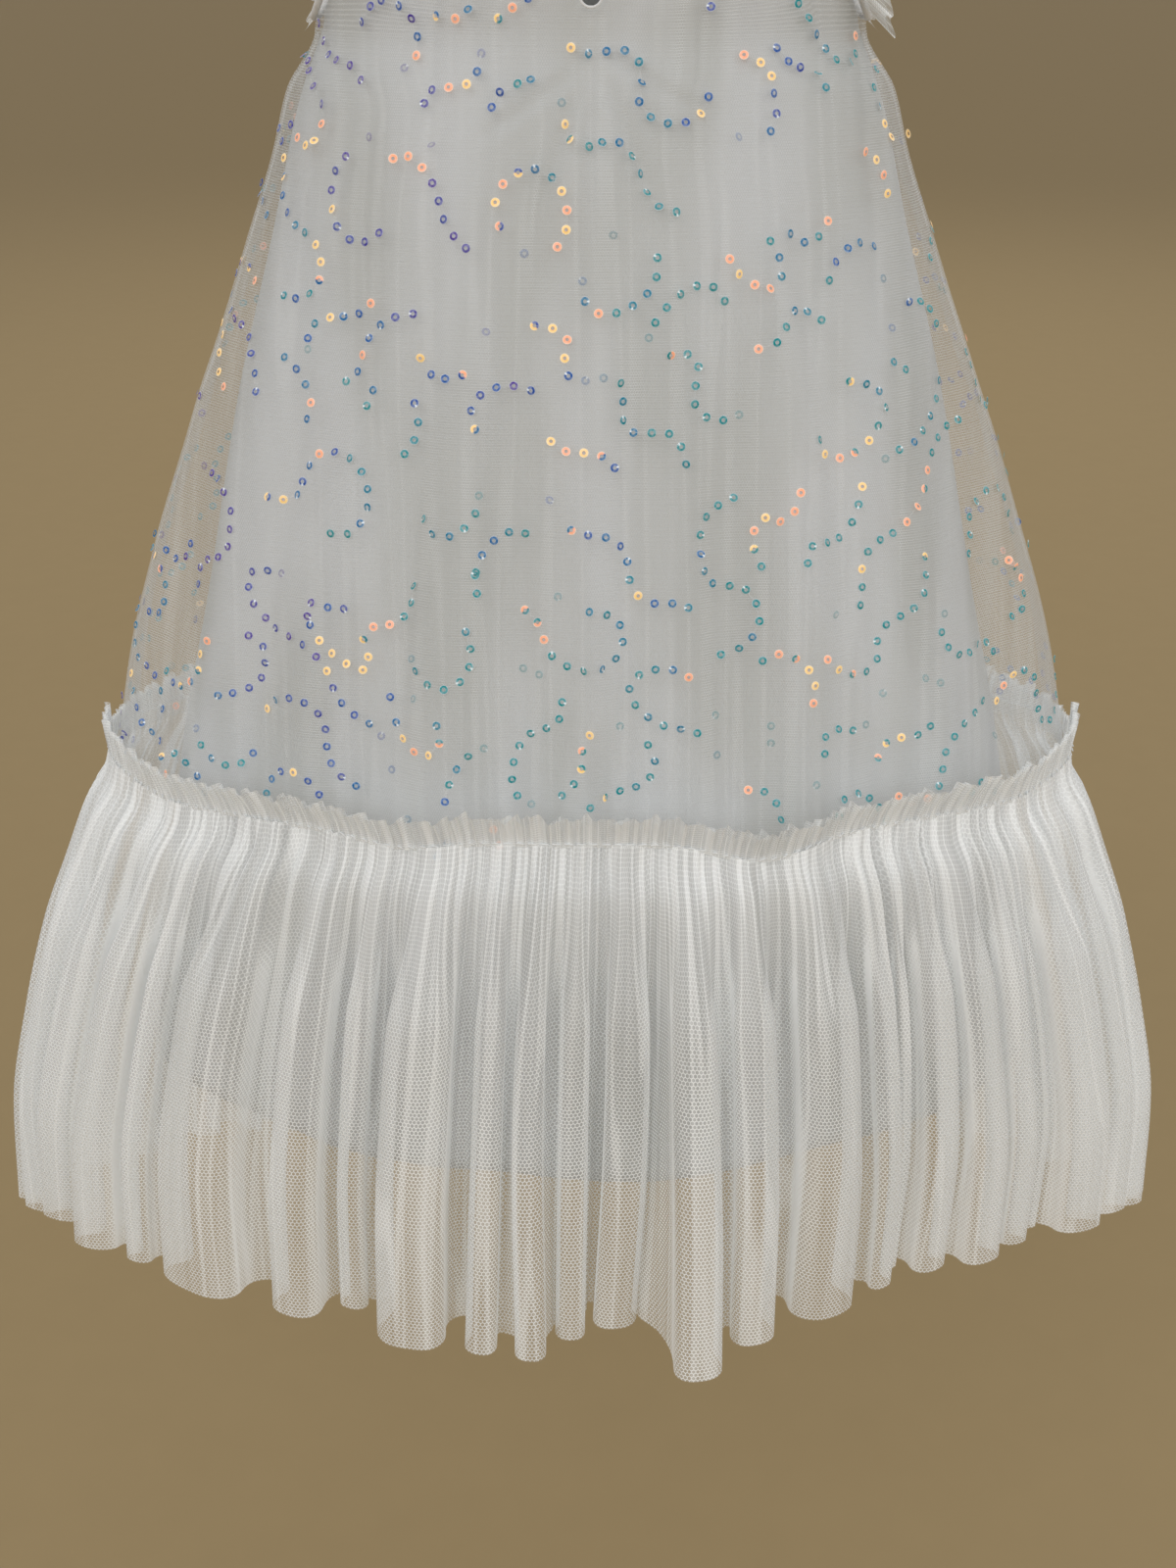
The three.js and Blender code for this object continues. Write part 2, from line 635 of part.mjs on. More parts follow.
const seat = neckPoint(0, BINDING_GAP + BINDING_WIDTH / 2, BINDING_PROUD);
const buttonX = -(SLIT_TOP + 4.4);
const button = add("neck_button", buttonShape(), PEARL);
button.rotation.x = Math.PI; // its dome points to -Y
button.position.set(buttonX, seat.y - 2 * SEAM_GAP, seat.z);
const loop = add("button_loop", loopShape(SLIT_TOP - buttonX + 1), THREAD);
loop.position.set(buttonX, seat.y - 3 * SEAM_GAP - LOOP_WIRE, seat.z);

export default dress;
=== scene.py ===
"""A child's trapeze dress, as a Blender add-on: a sequinned net overlay over a plain lining, a gathered
tier of hexagon net with a standing heading, flutter sleeves, and a bound neck with a slit.

Lengths in the tables and in the functions that shape cloth are in millimetres; meshes are in metres.
"""

import math
import random

import bmesh
import bpy
import numpy as np
from mathutils import Matrix, Vector


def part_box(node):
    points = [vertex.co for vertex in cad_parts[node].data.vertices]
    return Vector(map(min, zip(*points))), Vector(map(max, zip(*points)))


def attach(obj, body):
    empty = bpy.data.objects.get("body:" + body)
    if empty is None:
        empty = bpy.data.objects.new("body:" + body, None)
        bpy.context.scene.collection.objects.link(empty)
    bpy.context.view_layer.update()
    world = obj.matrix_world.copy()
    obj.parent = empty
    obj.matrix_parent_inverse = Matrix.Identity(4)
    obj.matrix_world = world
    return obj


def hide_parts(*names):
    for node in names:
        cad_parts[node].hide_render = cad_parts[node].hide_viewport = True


bl_info = {
    "name": "Trapeze dress",
    "version": (1, 0, 0),
    "blender": (4, 5, 0),
    "location": "View3D > Sidebar > Dress",
    "description": "Dresses the packed solids of a child's trapeze dress with net, sequins and sewing",
    "category": "Add Mesh",
}

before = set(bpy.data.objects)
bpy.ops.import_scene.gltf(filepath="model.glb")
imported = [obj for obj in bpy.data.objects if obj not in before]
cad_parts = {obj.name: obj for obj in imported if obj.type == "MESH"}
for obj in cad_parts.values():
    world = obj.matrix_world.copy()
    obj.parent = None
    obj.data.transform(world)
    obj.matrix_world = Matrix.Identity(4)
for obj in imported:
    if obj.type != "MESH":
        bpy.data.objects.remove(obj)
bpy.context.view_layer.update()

MM = 0.001
SIDES = ("front", "back")
SEAM_GAP = 0.34  # between the front and back halves
ARMPIT_Z = -140
STITCH_Z = -401  # the row of stitches that gathers the tier
OVERLAY_HEM_Z = -406
OVERLAY_LOW_Z = -404  # how far down the overlay's sequins and seam allowances reach
TIER_HEM_Z = -635
LINING_HEM_Z = -562  # at the centre
LINING_HEM_RISE = 24  # how much higher the lining's hem is at its sides
LAYER_STEP = 2.8  # how far the lining lies inside the overlay
LINING_WALL = 0.5
FOLDS_FULL_Z = -405  # the troughs of the lining and overlay are at their deepest from here down

SHOULDER_Z = 10  # the neck end of the shoulder seam
SHOULDER_SLOPE = 0.65
SHOULDER_ROUND = 95  # height over which the cloth turns over the shoulder
NECK_HALF = 61  # half the width of the cloth's neck edge
NECK_DROP = {"front": 74, "back": 38}
BINDING_WIDTH = 6.5
BINDING_GAP = 0.5  # between the binding and the edge that it covers

SLIT_BOTTOM_Z = -131
SLIT_ROUND = 3.8  # radius of the slit's bottom
SLIT_WAIST = 3.1  # half its width halfway up
SLIT_TOP = 1.3  # half its width at the neck
SLIT_PUSH = 14  # how far to each side the slit spreads the columns of the cloth


# ---- Tables ----
def table(columns, *rows):
    """Named columns of numbers, sorted by the first of them."""
    data = np.array(sorted(rows), dtype=float)
    return {name: data[:, k] for k, name in enumerate(columns.split())}


# Half widths and depths of the cloth by height. ridge is the Y of the side seams, front and back are the
# depths from there, and bell thins an outline towards its sides.
OVERLAY_FORM = table(
    "z half ridge front back",
    (15, 102, 0, 54, 44),
    (-100, 99, 0, 55, 45),
    (-140, 99.8, 0, 57, 46),
    (-160, 111, -3, 60, 49),
    (-181, 117, -7, 63, 53),
    (-213, 129, -12, 68, 58),
    (-245, 141, -18, 73, 64),
    (-281, 155, -24, 78, 70),
    (-320, 169, -31, 84, 77),
    (-361, 182, -38, 89, 84),
    (-410, 191.5, -46, 94, 91),
)
LINING_FORM = table(
    "z half ridge front back bell",
    (-140, 97, 0, 54.2, 43.2, 0),
    (-165, 107, -4, 57, 46, 0),
    (-207, 118, -11, 62, 53, 0),
    (-261, 133, -21, 68, 61, 0),
    (-339, 150, -34, 77, 70, 0),
    (-400, 164, -44, 83, 76, 0),
    (-480, 178, -51, 79, 75, 0.17),
    (-562, 190, -56, 73, 73, 0.38),
)
TIER_FORM = table(
    "z half ridge front back bell",
    (-398, 191.8, -44, 93.7, 90.7, 0),
    (-409, 192.6, -46, 95.2, 92.2, 0),
    (-422, 200, -48, 98.5, 95, 0),
    (-445, 209, -50, 99, 95, 0.04),
    (-480, 221, -53, 96, 95, 0.14),
    (-520, 232, -55, 93, 94, 0.27),
    (-575, 243, -58, 89, 92, 0.45),
    (-635, 247, -60, 85, 90, 0.66),
)
# How far round its half the cloth reaches, in degrees, at the armhole's edge and near the middle.
ARMHOLE = table(
    "z edge middle",
    (-140, 90, 90),
    (-132, 75, 84),
    (-122, 66.5, 78),
    (-105, 59, 70),
    (-80, 54.5, 63),
    (-50, 54.5, 60),
    (-20, 58, 60),
    (15, 63, 60),
)
# Soft troughs of a half: at runs from -1 to 1 between the side seams.
OVERLAY_TROUGHS = table(
    "at wide deep",
    (-0.74, 0.09, 5),
    (-0.47, 0.08, 6),
    (-0.3, 0.07, 7.5),
    (-0.09, 0.06, 5.5),
    (0.06, 0.05, 5),
    (0.2, 0.07, 7),
    (0.41, 0.08, 5.5),
    (0.67, 0.09, 6),
)
LINING_TROUGHS = table(
    "at wide deep",
    (-0.55, 0.16, 5),
    (-0.12, 0.14, 6),
    (0.34, 0.17, 6),
    (0.76, 0.12, 4),
)
# Narrow creases of the overlay's front, from (x, z) to (x, z), which fade at both ends.
CREASES = (
    {"start": (-4, -150), "end": (-38, -172), "wide": 3.2, "deep": 1.7},
    {"start": (-3, -152), "end": (-17, -196), "wide": 3.0, "deep": 1.8},
    {"start": (0, -146), "end": (-1, -210), "wide": 2.6, "deep": 1.7},
    {"start": (3, -150), "end": (22, -192), "wide": 3.2, "deep": 1.8},
    {"start": (5, -146), "end": (42, -166), "wide": 3.0, "deep": 1.5},
    {"start": (-52, -120), "end": (-55, -165), "wide": 2.4, "deep": 0.9},
    {"start": (27, -122), "end": (29, -158), "wide": 2.4, "deep": 0.9},
    {"start": (36, -126), "end": (40, -170), "wide": 2.6, "deep": 0.8},
    {"start": (14, -230), "end": (12, -330), "wide": 4.0, "deep": 1.2},
    {"start": (-58, -260), "end": (-72, -380), "wide": 5.0, "deep": 1.4},
    {"start": (42, -280), "end": (46, -390), "wide": 4.5, "deep": 1.3},
    {"start": (70, -200), "end": (92, -320), "wide": 4.5, "deep": 1.1},
    {"start": (100, -260), "end": (128, -385), "wide": 5.0, "deep": 1.2},
    {"start": (-100, -250), "end": (-124, -370), "wide": 5.0, "deep": 1.1},
)
# Flutes of the tier on the front from side to side: the share of the half that each takes, and how far it
# stands out of the form at the hem, or in from it.
TIER_FLUTES = (
    (0.13, -2),
    (0.12, 0),
    (0.11, 3),
    (0.095, 8),
    (0.046, 7),
    (0.146, 6),
    (0.08, -1),
    (0.041, -10),
    (0.107, -1),
    (0.046, -1),
    (0.046, 2),
    (0.043, -10),
    (0.069, -15),
    (0.072, 12),
    (0.066, -2),
    (0.106, -8),
    (0.04, -8),
    (0.026, -15),
    (0.055, -9),
    (0.068, -2),
    (0.052, -3),
    (0.03, -6),
    (0.1, 2),
    (0.1, 2),
    (0.1, 2),
    (0.108, 0),
)
HEM_LIFT_PER_SET = 0.3  # a flute that is set in hangs higher
HEM_LIFT_SIDE = 15  # and so do the sides
TIER_SPREAD = 0.02  # the net's hem stands this share wider than the solid's
TIER_SWAY = 4  # and hangs this far to one side
TIER_ROWS = 50
FLUTE_COLUMNS = 34
FLUTE_FLATNESS = 1.6  # over 1 the faces of a flute are flatter and its sides steeper
FLUTE_BENDS = (1.3, 2.05)  # least and most slope of a flute's sides, in radians
STEEP = 1.6  # slope from which the net is seen edge on, in radians
FLUTE_REACH = 25  # the most that a flute stands out from its valley to its crest
FLUTE_SOFTENING = 9  # columns over which one flute's set goes over into the next one's
# Where the row of gathering stitches sinks under its level: share round the half, reach and depth.
STITCH_DIPS = table("at wide deep", (-0.23, 0.07, 3.5), (0.21, 0.08, 7.5), (0.62, 0.1, 2), (-0.6, 0.1, 2))


def read(rows, name, at, key="z"):
    """The column's value: a smooth curve through the rows, which never overshoots them."""
    x, y = rows[key], rows[name]
    at = np.clip(at, x[0], x[-1])
    span = np.diff(x)
    slope = np.diff(y) / span
    both = slope[:-1] * slope[1:]
    total = np.where(both > 0, slope[:-1] + slope[1:], 1)
    inner = np.where(both > 0, 2 * both / total, 0)
    ease = np.concatenate([slope[:1], inner, slope[-1:]])
    i = np.clip(np.searchsorted(x, at, side="right") - 1, 0, len(x) - 2)
    t = (at - x[i]) / span[i]
    rise = (3 - 2 * t) * t * t
    bend = ease[i] * t * (1 - t) ** 2 - ease[i + 1] * t * t * (1 - t)
    return y[i] * (1 - rise) + y[i + 1] * rise + span[i] * bend


def smooth(low, high, at):
    """An eased step from 0 at low to 1 at high."""
    t = np.clip((at - low) / (high - low), 0, 1)
    return t * t * (3 - 2 * t)


def bumps(rows, share):
    """The sum of a table's soft bumps at these shares."""
    total = np.zeros(np.shape(share))
    for at, wide, deep in zip(rows["at"], rows["wide"], rows["deep"]):
        total = total + deep * np.exp(-(((share - at) / wide) ** 2))
    return total


def shoulder_line(x):
    """Height of the shoulder seams, which are level across the neck."""
    return SHOULDER_Z - SHOULDER_SLOPE * np.maximum(0, np.abs(x) - NECK_HALF)


def turn_over(below):
    """Share of its depth that the cloth has at this distance under the shoulder seam."""
    left = 1 - np.clip(below / SHOULDER_ROUND, 0, 1)
    return (1 - left * left) ** 0.7


HALVINGS = 40


def unit(vectors):
    return vectors / np.maximum(np.linalg.norm(vectors, axis=-1, keepdims=True), 1e-9)


def xyz(x, y, z):
    return np.stack(np.broadcast_arrays(x, y, z), axis=-1).astype(float)


class Form:
    """The front or back half of a garment form: points by share round it and height."""

    def __init__(self, rows, side):
        self.rows = rows
        self.side = side
        self.front = -1 if side == "front" else 1

    def at(self, name, z):
        return read(self.rows, name, z)

    def turn(self, share, z):
        """The angle round the half at a share of it, in radians."""
        edge, middle = read(ARMHOLE, "edge", z), read(ARMHOLE, "middle", z)
        return np.radians(share * (middle + (edge - middle) * np.abs(share) ** 3))

    def seam_y(self, z):
        return self.at("ridge", z) + self.front * SEAM_GAP / 2

    def point(self, share, z, push=0.0):
        turn = self.turn(share, z)
        x = (self.at("half", z) - push) * np.sin(turn)
        depth = (self.at(self.side, z) - push) * turn_over(shoulder_line(x) - z)
        bell = self.at("bell", z) if "bell" in self.rows else 0.0
        y = self.seam_y(z) + self.front * depth * np.cos(turn) * (1 - bell * np.sin(turn) ** 2)
        return xyz(x, y, z)

    def share_of(self, x, z):
        """The share at a distance from the middle, found by halving the span that holds it."""
        turn = np.arcsin(np.clip(x / self.at("half", z), -1, 1))
        low, high = -np.ones(np.shape(turn)), np.ones(np.shape(turn))
        for _ in range(HALVINGS):
            middle = (low + high) / 2
            under = self.turn(middle, z) < turn
            low, high = np.where(under, middle, low), np.where(under, high, middle)
        return (low + high) / 2

    def top(self, share):
        """Where a column of the form meets the shoulder seam."""
        top = np.full(np.shape(share), float(SHOULDER_Z))
        for _ in range(8):
            top = shoulder_line(self.point(share, top)[..., 0])
        return top


OVERLAY = {side: Form(OVERLAY_FORM, side) for side in SIDES}
LINING = {side: Form(LINING_FORM, side) for side in SIDES}
TIER = {side: Form(TIER_FORM, side) for side in SIDES}


def normal_at(surface, front, share, z):
    """The outward direction of a surface, a function of share and height."""
    across = surface(share + 0.002, z) - surface(share - 0.002, z)
    up = surface(share, z + 0.4) - surface(share, z - 0.4)
    return unit(np.cross(across, up) * -front)


WAVE_START = 6.3  # the largest angle at which a wave may start


def ripple(seed, count, least, most, lean):
    """A seeded sum of long waves across the cloth, as a function of x and z. least and most bound the
    wavelength in millimetres, and lean is how far a wave may slant."""
    dice = random.Random(seed)
    waves = []
    for _ in range(count):
        rate = 2 * math.pi / dice.uniform(least, most)
        slant = dice.uniform(-lean, lean)
        phase = dice.uniform(0, WAVE_START)
        waves.append((rate, slant, phase, dice.uniform(0.4, 1)))
    swells = [(dice.uniform(45, 110), dice.uniform(0, WAVE_START)) for _ in range(count)]

    def value(x, z):
        total = 0
        for (rate, slant, phase, size), (length, start) in zip(waves, swells):
            strength = 0.5 + 0.5 * np.sin(z / length + start + x / 60)
            total = total + size * strength * np.sin(rate * (x + slant * z) + phase)
        return total / math.sqrt(count)

    return value


OVERLAY_WAVES = {"count": 7, "least": 14, "most": 34, "lean": 0.12}
LINING_WAVES = {"count": 6, "least": 22, "most": 60, "lean": 0.2}
OVERLAY_RIPPLE = {side: ripple(seed, **OVERLAY_WAVES) for side, seed in zip(SIDES, (3, 4))}
LINING_RIPPLE = {side: ripple(seed, **LINING_WAVES) for side, seed in zip(SIDES, (5, 6))}
OVERLAY_RIPPLE_DEPTH = 0.8
LINING_RIPPLE_DEPTH = 0.9


def crease_depth(x, z):
    """How deep the overlay's creases are at these places."""
    total = 0
    for crease in CREASES:
        (x0, z0), (x1, z1) = crease["start"], crease["end"]
        length = math.hypot(x1 - x0, z1 - z0)
        way = ((x1 - x0) / length, (z1 - z0) / length)
        along = ((x - x0) * way[0] + (z - z0) * way[1]) / length
        aside = ((x - x0) * way[1] - (z - z0) * way[0]) / crease["wide"]
        fade = smooth(-0.1, 0.25, along) * smooth(1.15, 0.6, along)
        total = total + crease["deep"] * fade * (1 - 2 * aside * aside) * np.exp(-aside * aside)
    return total


def overlay_surface(side):
    """The overlay's cloth on one half, with its troughs and creases, as a function of share and height."""
    form = OVERLAY[side]

    def base(share, z):
        grow = smooth(ARMPIT_Z, FOLDS_FULL_Z, z)
        return form.point(share, z, grow * bumps(OVERLAY_TROUGHS, share))

    def surface(share, z):
        point = base(share, z)
        x = point[..., 0]
        fade = smooth(1.0, 0.9, np.abs(share)) * smooth(0, 22, form.top(share) - z)
        out = OVERLAY_RIPPLE_DEPTH * OVERLAY_RIPPLE[side](x, z) * (0.5 + smooth(ARMPIT_Z, -300, z))
        if side == "front":
            out = out - crease_depth(x, z)
        return point + normal_at(base, form.front, share, z) * (out * fade)[..., None]

    return surface


def lining_surface(side):
    """The lining's cloth on one half: a step inside the overlay down to the armpits, and its own form
    from there."""
    form, bodice = LINING[side], OVERLAY[side]

    def low(share, z):
        grow = smooth(ARMPIT_Z, FOLDS_FULL_Z, z)
        return form.point(share, z, grow * bumps(LINING_TROUGHS, share))

    def surface(share, z):
        inward = normal_at(bodice.point, form.front, share, np.minimum(z, bodice.top(share) - 1))
        above = bodice.point(share, z) - inward * LAYER_STEP
        below = low(share, np.minimum(z, ARMPIT_Z))
        calm = smooth(-160, -300, z) * smooth(1, 0.88, np.abs(share))
        out = LINING_RIPPLE_DEPTH * LINING_RIPPLE[side](below[..., 0], z) * calm
        below = below + normal_at(low, form.front, share, np.minimum(z, ARMPIT_Z - 0.5)) * out[..., None]
        below[..., 2] = np.minimum(z, ARMPIT_Z)
        return np.where((z > ARMPIT_Z)[..., None], above, below)

    return surface


# ---- Meshes ----
def finished(name, bm, coat, replaced=()):
    """Ends a piece: writes its mesh, gives its material and says what it rides on and stands for."""
    mesh = bpy.data.meshes.new(name)
    bm.to_mesh(mesh)
    bm.free()
    mesh.shade_smooth()
    mesh.materials.append(coat)
    piece = bpy.data.objects.new(name, mesh)
    bpy.context.scene.collection.objects.link(piece)
    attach(piece, "root")
    if replaced:
        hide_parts(*replaced)
    return piece


def add_grid(bm, points, cut=None, extra=None, drop=None):
    """Adds a grid shaped to points, an array of rows by columns by XYZ in millimetres. cut holds the flat
    cloth's own coordinates in metres, extra is a map of point attributes, and drop marks cells left out."""
    high, wide = points.shape[:2]
    uv = bm.loops.layers.uv.get("cut") or bm.loops.layers.uv.new("cut")
    for name in extra or {}:
        if bm.verts.layers.float.get(name) is None:
            bm.verts.layers.float.new(name)
    layers = {name: bm.verts.layers.float.get(name) for name in extra or {}}
    made = bmesh.ops.create_grid(bm, x_segments=wide - 1, y_segments=high - 1, size=1)["verts"]
    spots = {}
    for vert in made:
        i = round((vert.co.x + 1) / 2 * (wide - 1))
        j = round((vert.co.y + 1) / 2 * (high - 1))
        spots[vert] = (j, i)
        vert.co = Vector(points[j, i] * MM)
        for name, layer in layers.items():
            vert[layer] = float(extra[name][j, i])
    faces = {face for vert in made for face in vert.link_faces}
    if cut is not None:
        for loop in (loop for face in faces for loop in face.loops):
            loop[uv].uv = cut[spots[loop.vert]]
    if drop is not None:
        first = {face: min(spots[vert] for vert in face.verts) for face in faces}
        bmesh.ops.delete(bm, geom=[face for face in faces if drop[first[face]]], context="FACES")
    return made


def cut_of(points):
    """Flat coordinates of a grid of points: lengths along its rows and its middle column, in metres."""
    high, wide = points.shape[:2]
    steps = np.linalg.norm(np.diff(points, axis=1), axis=-1)
    across = np.concatenate([np.zeros((high, 1)), np.cumsum(steps, axis=1)], axis=1)
    across = across - across[:, wide // 2][:, None]
    rises = np.linalg.norm(np.diff(points[:, wide // 2], axis=0), axis=-1)
    up = np.concatenate([[0], np.cumsum(rises)])
    return np.stack([across, np.broadcast_to(up[:, None], across.shape)], axis=-1) * MM


def add_tube(bm, path, radius, sides=8, closed=False):
    """Adds a round tube along a path of points in millimetres."""
    path = np.asarray(path, dtype=float)
    ways = np.gradient(path, axis=0)
    if closed:
        ways[0] = ways[-1] = path[1] - path[-2]
    ways = unit(ways)
    guide = np.cross(ways[0], (0.31, 0.87, 0.38))
    rings = []
    for spot, way in zip(path, ways):
        guide = unit(guide - way * np.dot(guide, way))
        other = np.cross(way, guide)
        turns = np.linspace(0, 2 * math.pi, sides + 1)
        rings.append(spot + radius * (np.cos(turns)[:, None] * guide + np.sin(turns)[:, None] * other))
    if closed:
        rings[-1] = rings[0]
    made = add_grid(bm, np.array(rings))
    bmesh.ops.remove_doubles(bm, verts=made, dist=1e-6)
    if not closed:
        edges = [edge for vert in made if vert.is_valid for edge in vert.link_edges if edge.is_boundary]
        bmesh.ops.holes_fill(bm, edges=list(set(edges)), sides=sides)


def shape_of(bm):
    """The vertices and faces of a small shape that is repeated."""
    bm.verts.index_update()
    spots = np.array([vert.co for vert in bm.verts])
    faces = [[vert.index for vert in face.verts] for face in bm.faces]
    bm.free()
    return spots, faces


def scattered(name, shape, frames, coat, colours=None):
    """One piece of many copies of a shape. frames holds a 3 by 4 matrix for each copy, in metres."""
    spots, faces = shape
    frames = np.asarray(frames)
    placed = np.einsum("kij,nj->kni", frames[:, :, :3], spots) + frames[:, None, :, 3]
    count = len(spots)
    corners = [[corner + k * count for corner in face] for k in range(len(frames)) for face in faces]
    mesh = bpy.data.meshes.new(name)
    mesh.from_pydata(placed.reshape(-1, 3).tolist(), [], corners)
    if colours is not None:
        film = mesh.attributes.new("film", "FLOAT_COLOR", "POINT")
        film.data.foreach_set("color", np.asarray(colours, dtype=np.float32).ravel())
    bm = bmesh.new()
    bm.from_mesh(mesh)
    bpy.data.meshes.remove(mesh)
    return finished(name, bm, coat)


def frame_at(spot, out, way, scale=(1.0, 1.0, 1.0)):
    """A 3 by 4 matrix that turns a shape's Z to out and its X towards way, at a spot in millimetres."""
    out = unit(np.asarray(out, dtype=float))
    side = unit(way - out * np.dot(way, out))
    axes = np.stack([side, np.cross(out, side), out], axis=1) * np.asarray(scale)
    return np.concatenate([axes, (np.asarray(spot) * MM)[:, None]], axis=1)


def grown(bm, edges):
    """Extrudes a ring of edges, and gives the new ring's vertices and edges."""
    made = bmesh.ops.extrude_edge_only(bm, edges=edges)["geom"]
    verts = [item for item in made if isinstance(item, bmesh.types.BMVert)]
    lines = [item for item in made if isinstance(item, bmesh.types.BMEdge)]
    return verts, [line for line in lines if all(vert in verts for vert in line.verts)]


STITCH_SIDES = 6
STITCH_RINGS = ((-0.3, 1.7), (0.3, 1.0), (0.5, 0.6))  # place along the stitch, and growth on the ring before


def stitch_shape():
    """A stitch one metre long and one metre thick, to be scaled: a rod that tapers at both ends."""
    bm = bmesh.new()
    ring = bmesh.ops.create_circle(bm, segments=STITCH_SIDES, radius=0.3)["verts"]
    bmesh.ops.rotate(bm, verts=ring, matrix=Matrix.Rotation(math.pi / 2, 3, "Y"))
    bmesh.ops.translate(bm, vec=(-0.5, 0, 0), verts=ring)
    edges = list(bm.edges)
    for x, swell in STITCH_RINGS:
        verts, edges = grown(bm, edges)
        for vert in verts:
            vert.co = (x, vert.co.y * swell, vert.co.z * swell)
    bmesh.ops.holes_fill(bm, edges=[edge for edge in bm.edges if edge.is_boundary], sides=STITCH_SIDES)
    bmesh.ops.recalc_face_normals(bm, faces=bm.faces)
    return shape_of(bm)


def stitches_along(path, outward, pitch, length, radius):
    """Frames of a row of short stitches along a path."""
    path = np.asarray(path, dtype=float)
    at = end_to_end(path)
    size = (length * MM, 2 * radius * MM, 2 * radius * MM)

    def along(values, distance):
        return np.array([np.interp(distance, at, values[:, axis]) for axis in range(3)])

    frames = []
    for start in np.arange(0, at[-1] - length, pitch):
        way = along(path, start + length) - along(path, start)
        out = along(outward, start)
        middle = along(path, start + 0.5 * length)
        frames.append(frame_at(middle + out * radius * 0.5, out, way, size))
    return frames


def end_to_end(path):
    """Distances along a path of points, from 0."""
    return np.concatenate([[0], np.cumsum(np.linalg.norm(np.diff(path, axis=0), axis=-1))])


def area_of(points):
    """The area of a grid of points, in square metres."""
    across, up = np.diff(points, axis=1)[:-1], np.diff(points, axis=0)[:, :-1]
    return float(np.linalg.norm(np.cross(across, up), axis=-1).sum()) * MM * MM


# ---- Materials ----
MESH_STRETCH = 0.85  # under 1 the meshes of the hanging net are drawn out upwards
HEXAGON_SLANT = 0.866  # the sine of 60 degrees
THREAD_EDGE = 0.05  # softness of a thread's edge, in meshes
LINING_THREADS = 620.0  # scale of the lining's weave
CROWDED_FROM, CROWDED_TO = -0.13, -0.015  # heights under the stitches between which gathers hide the mesh


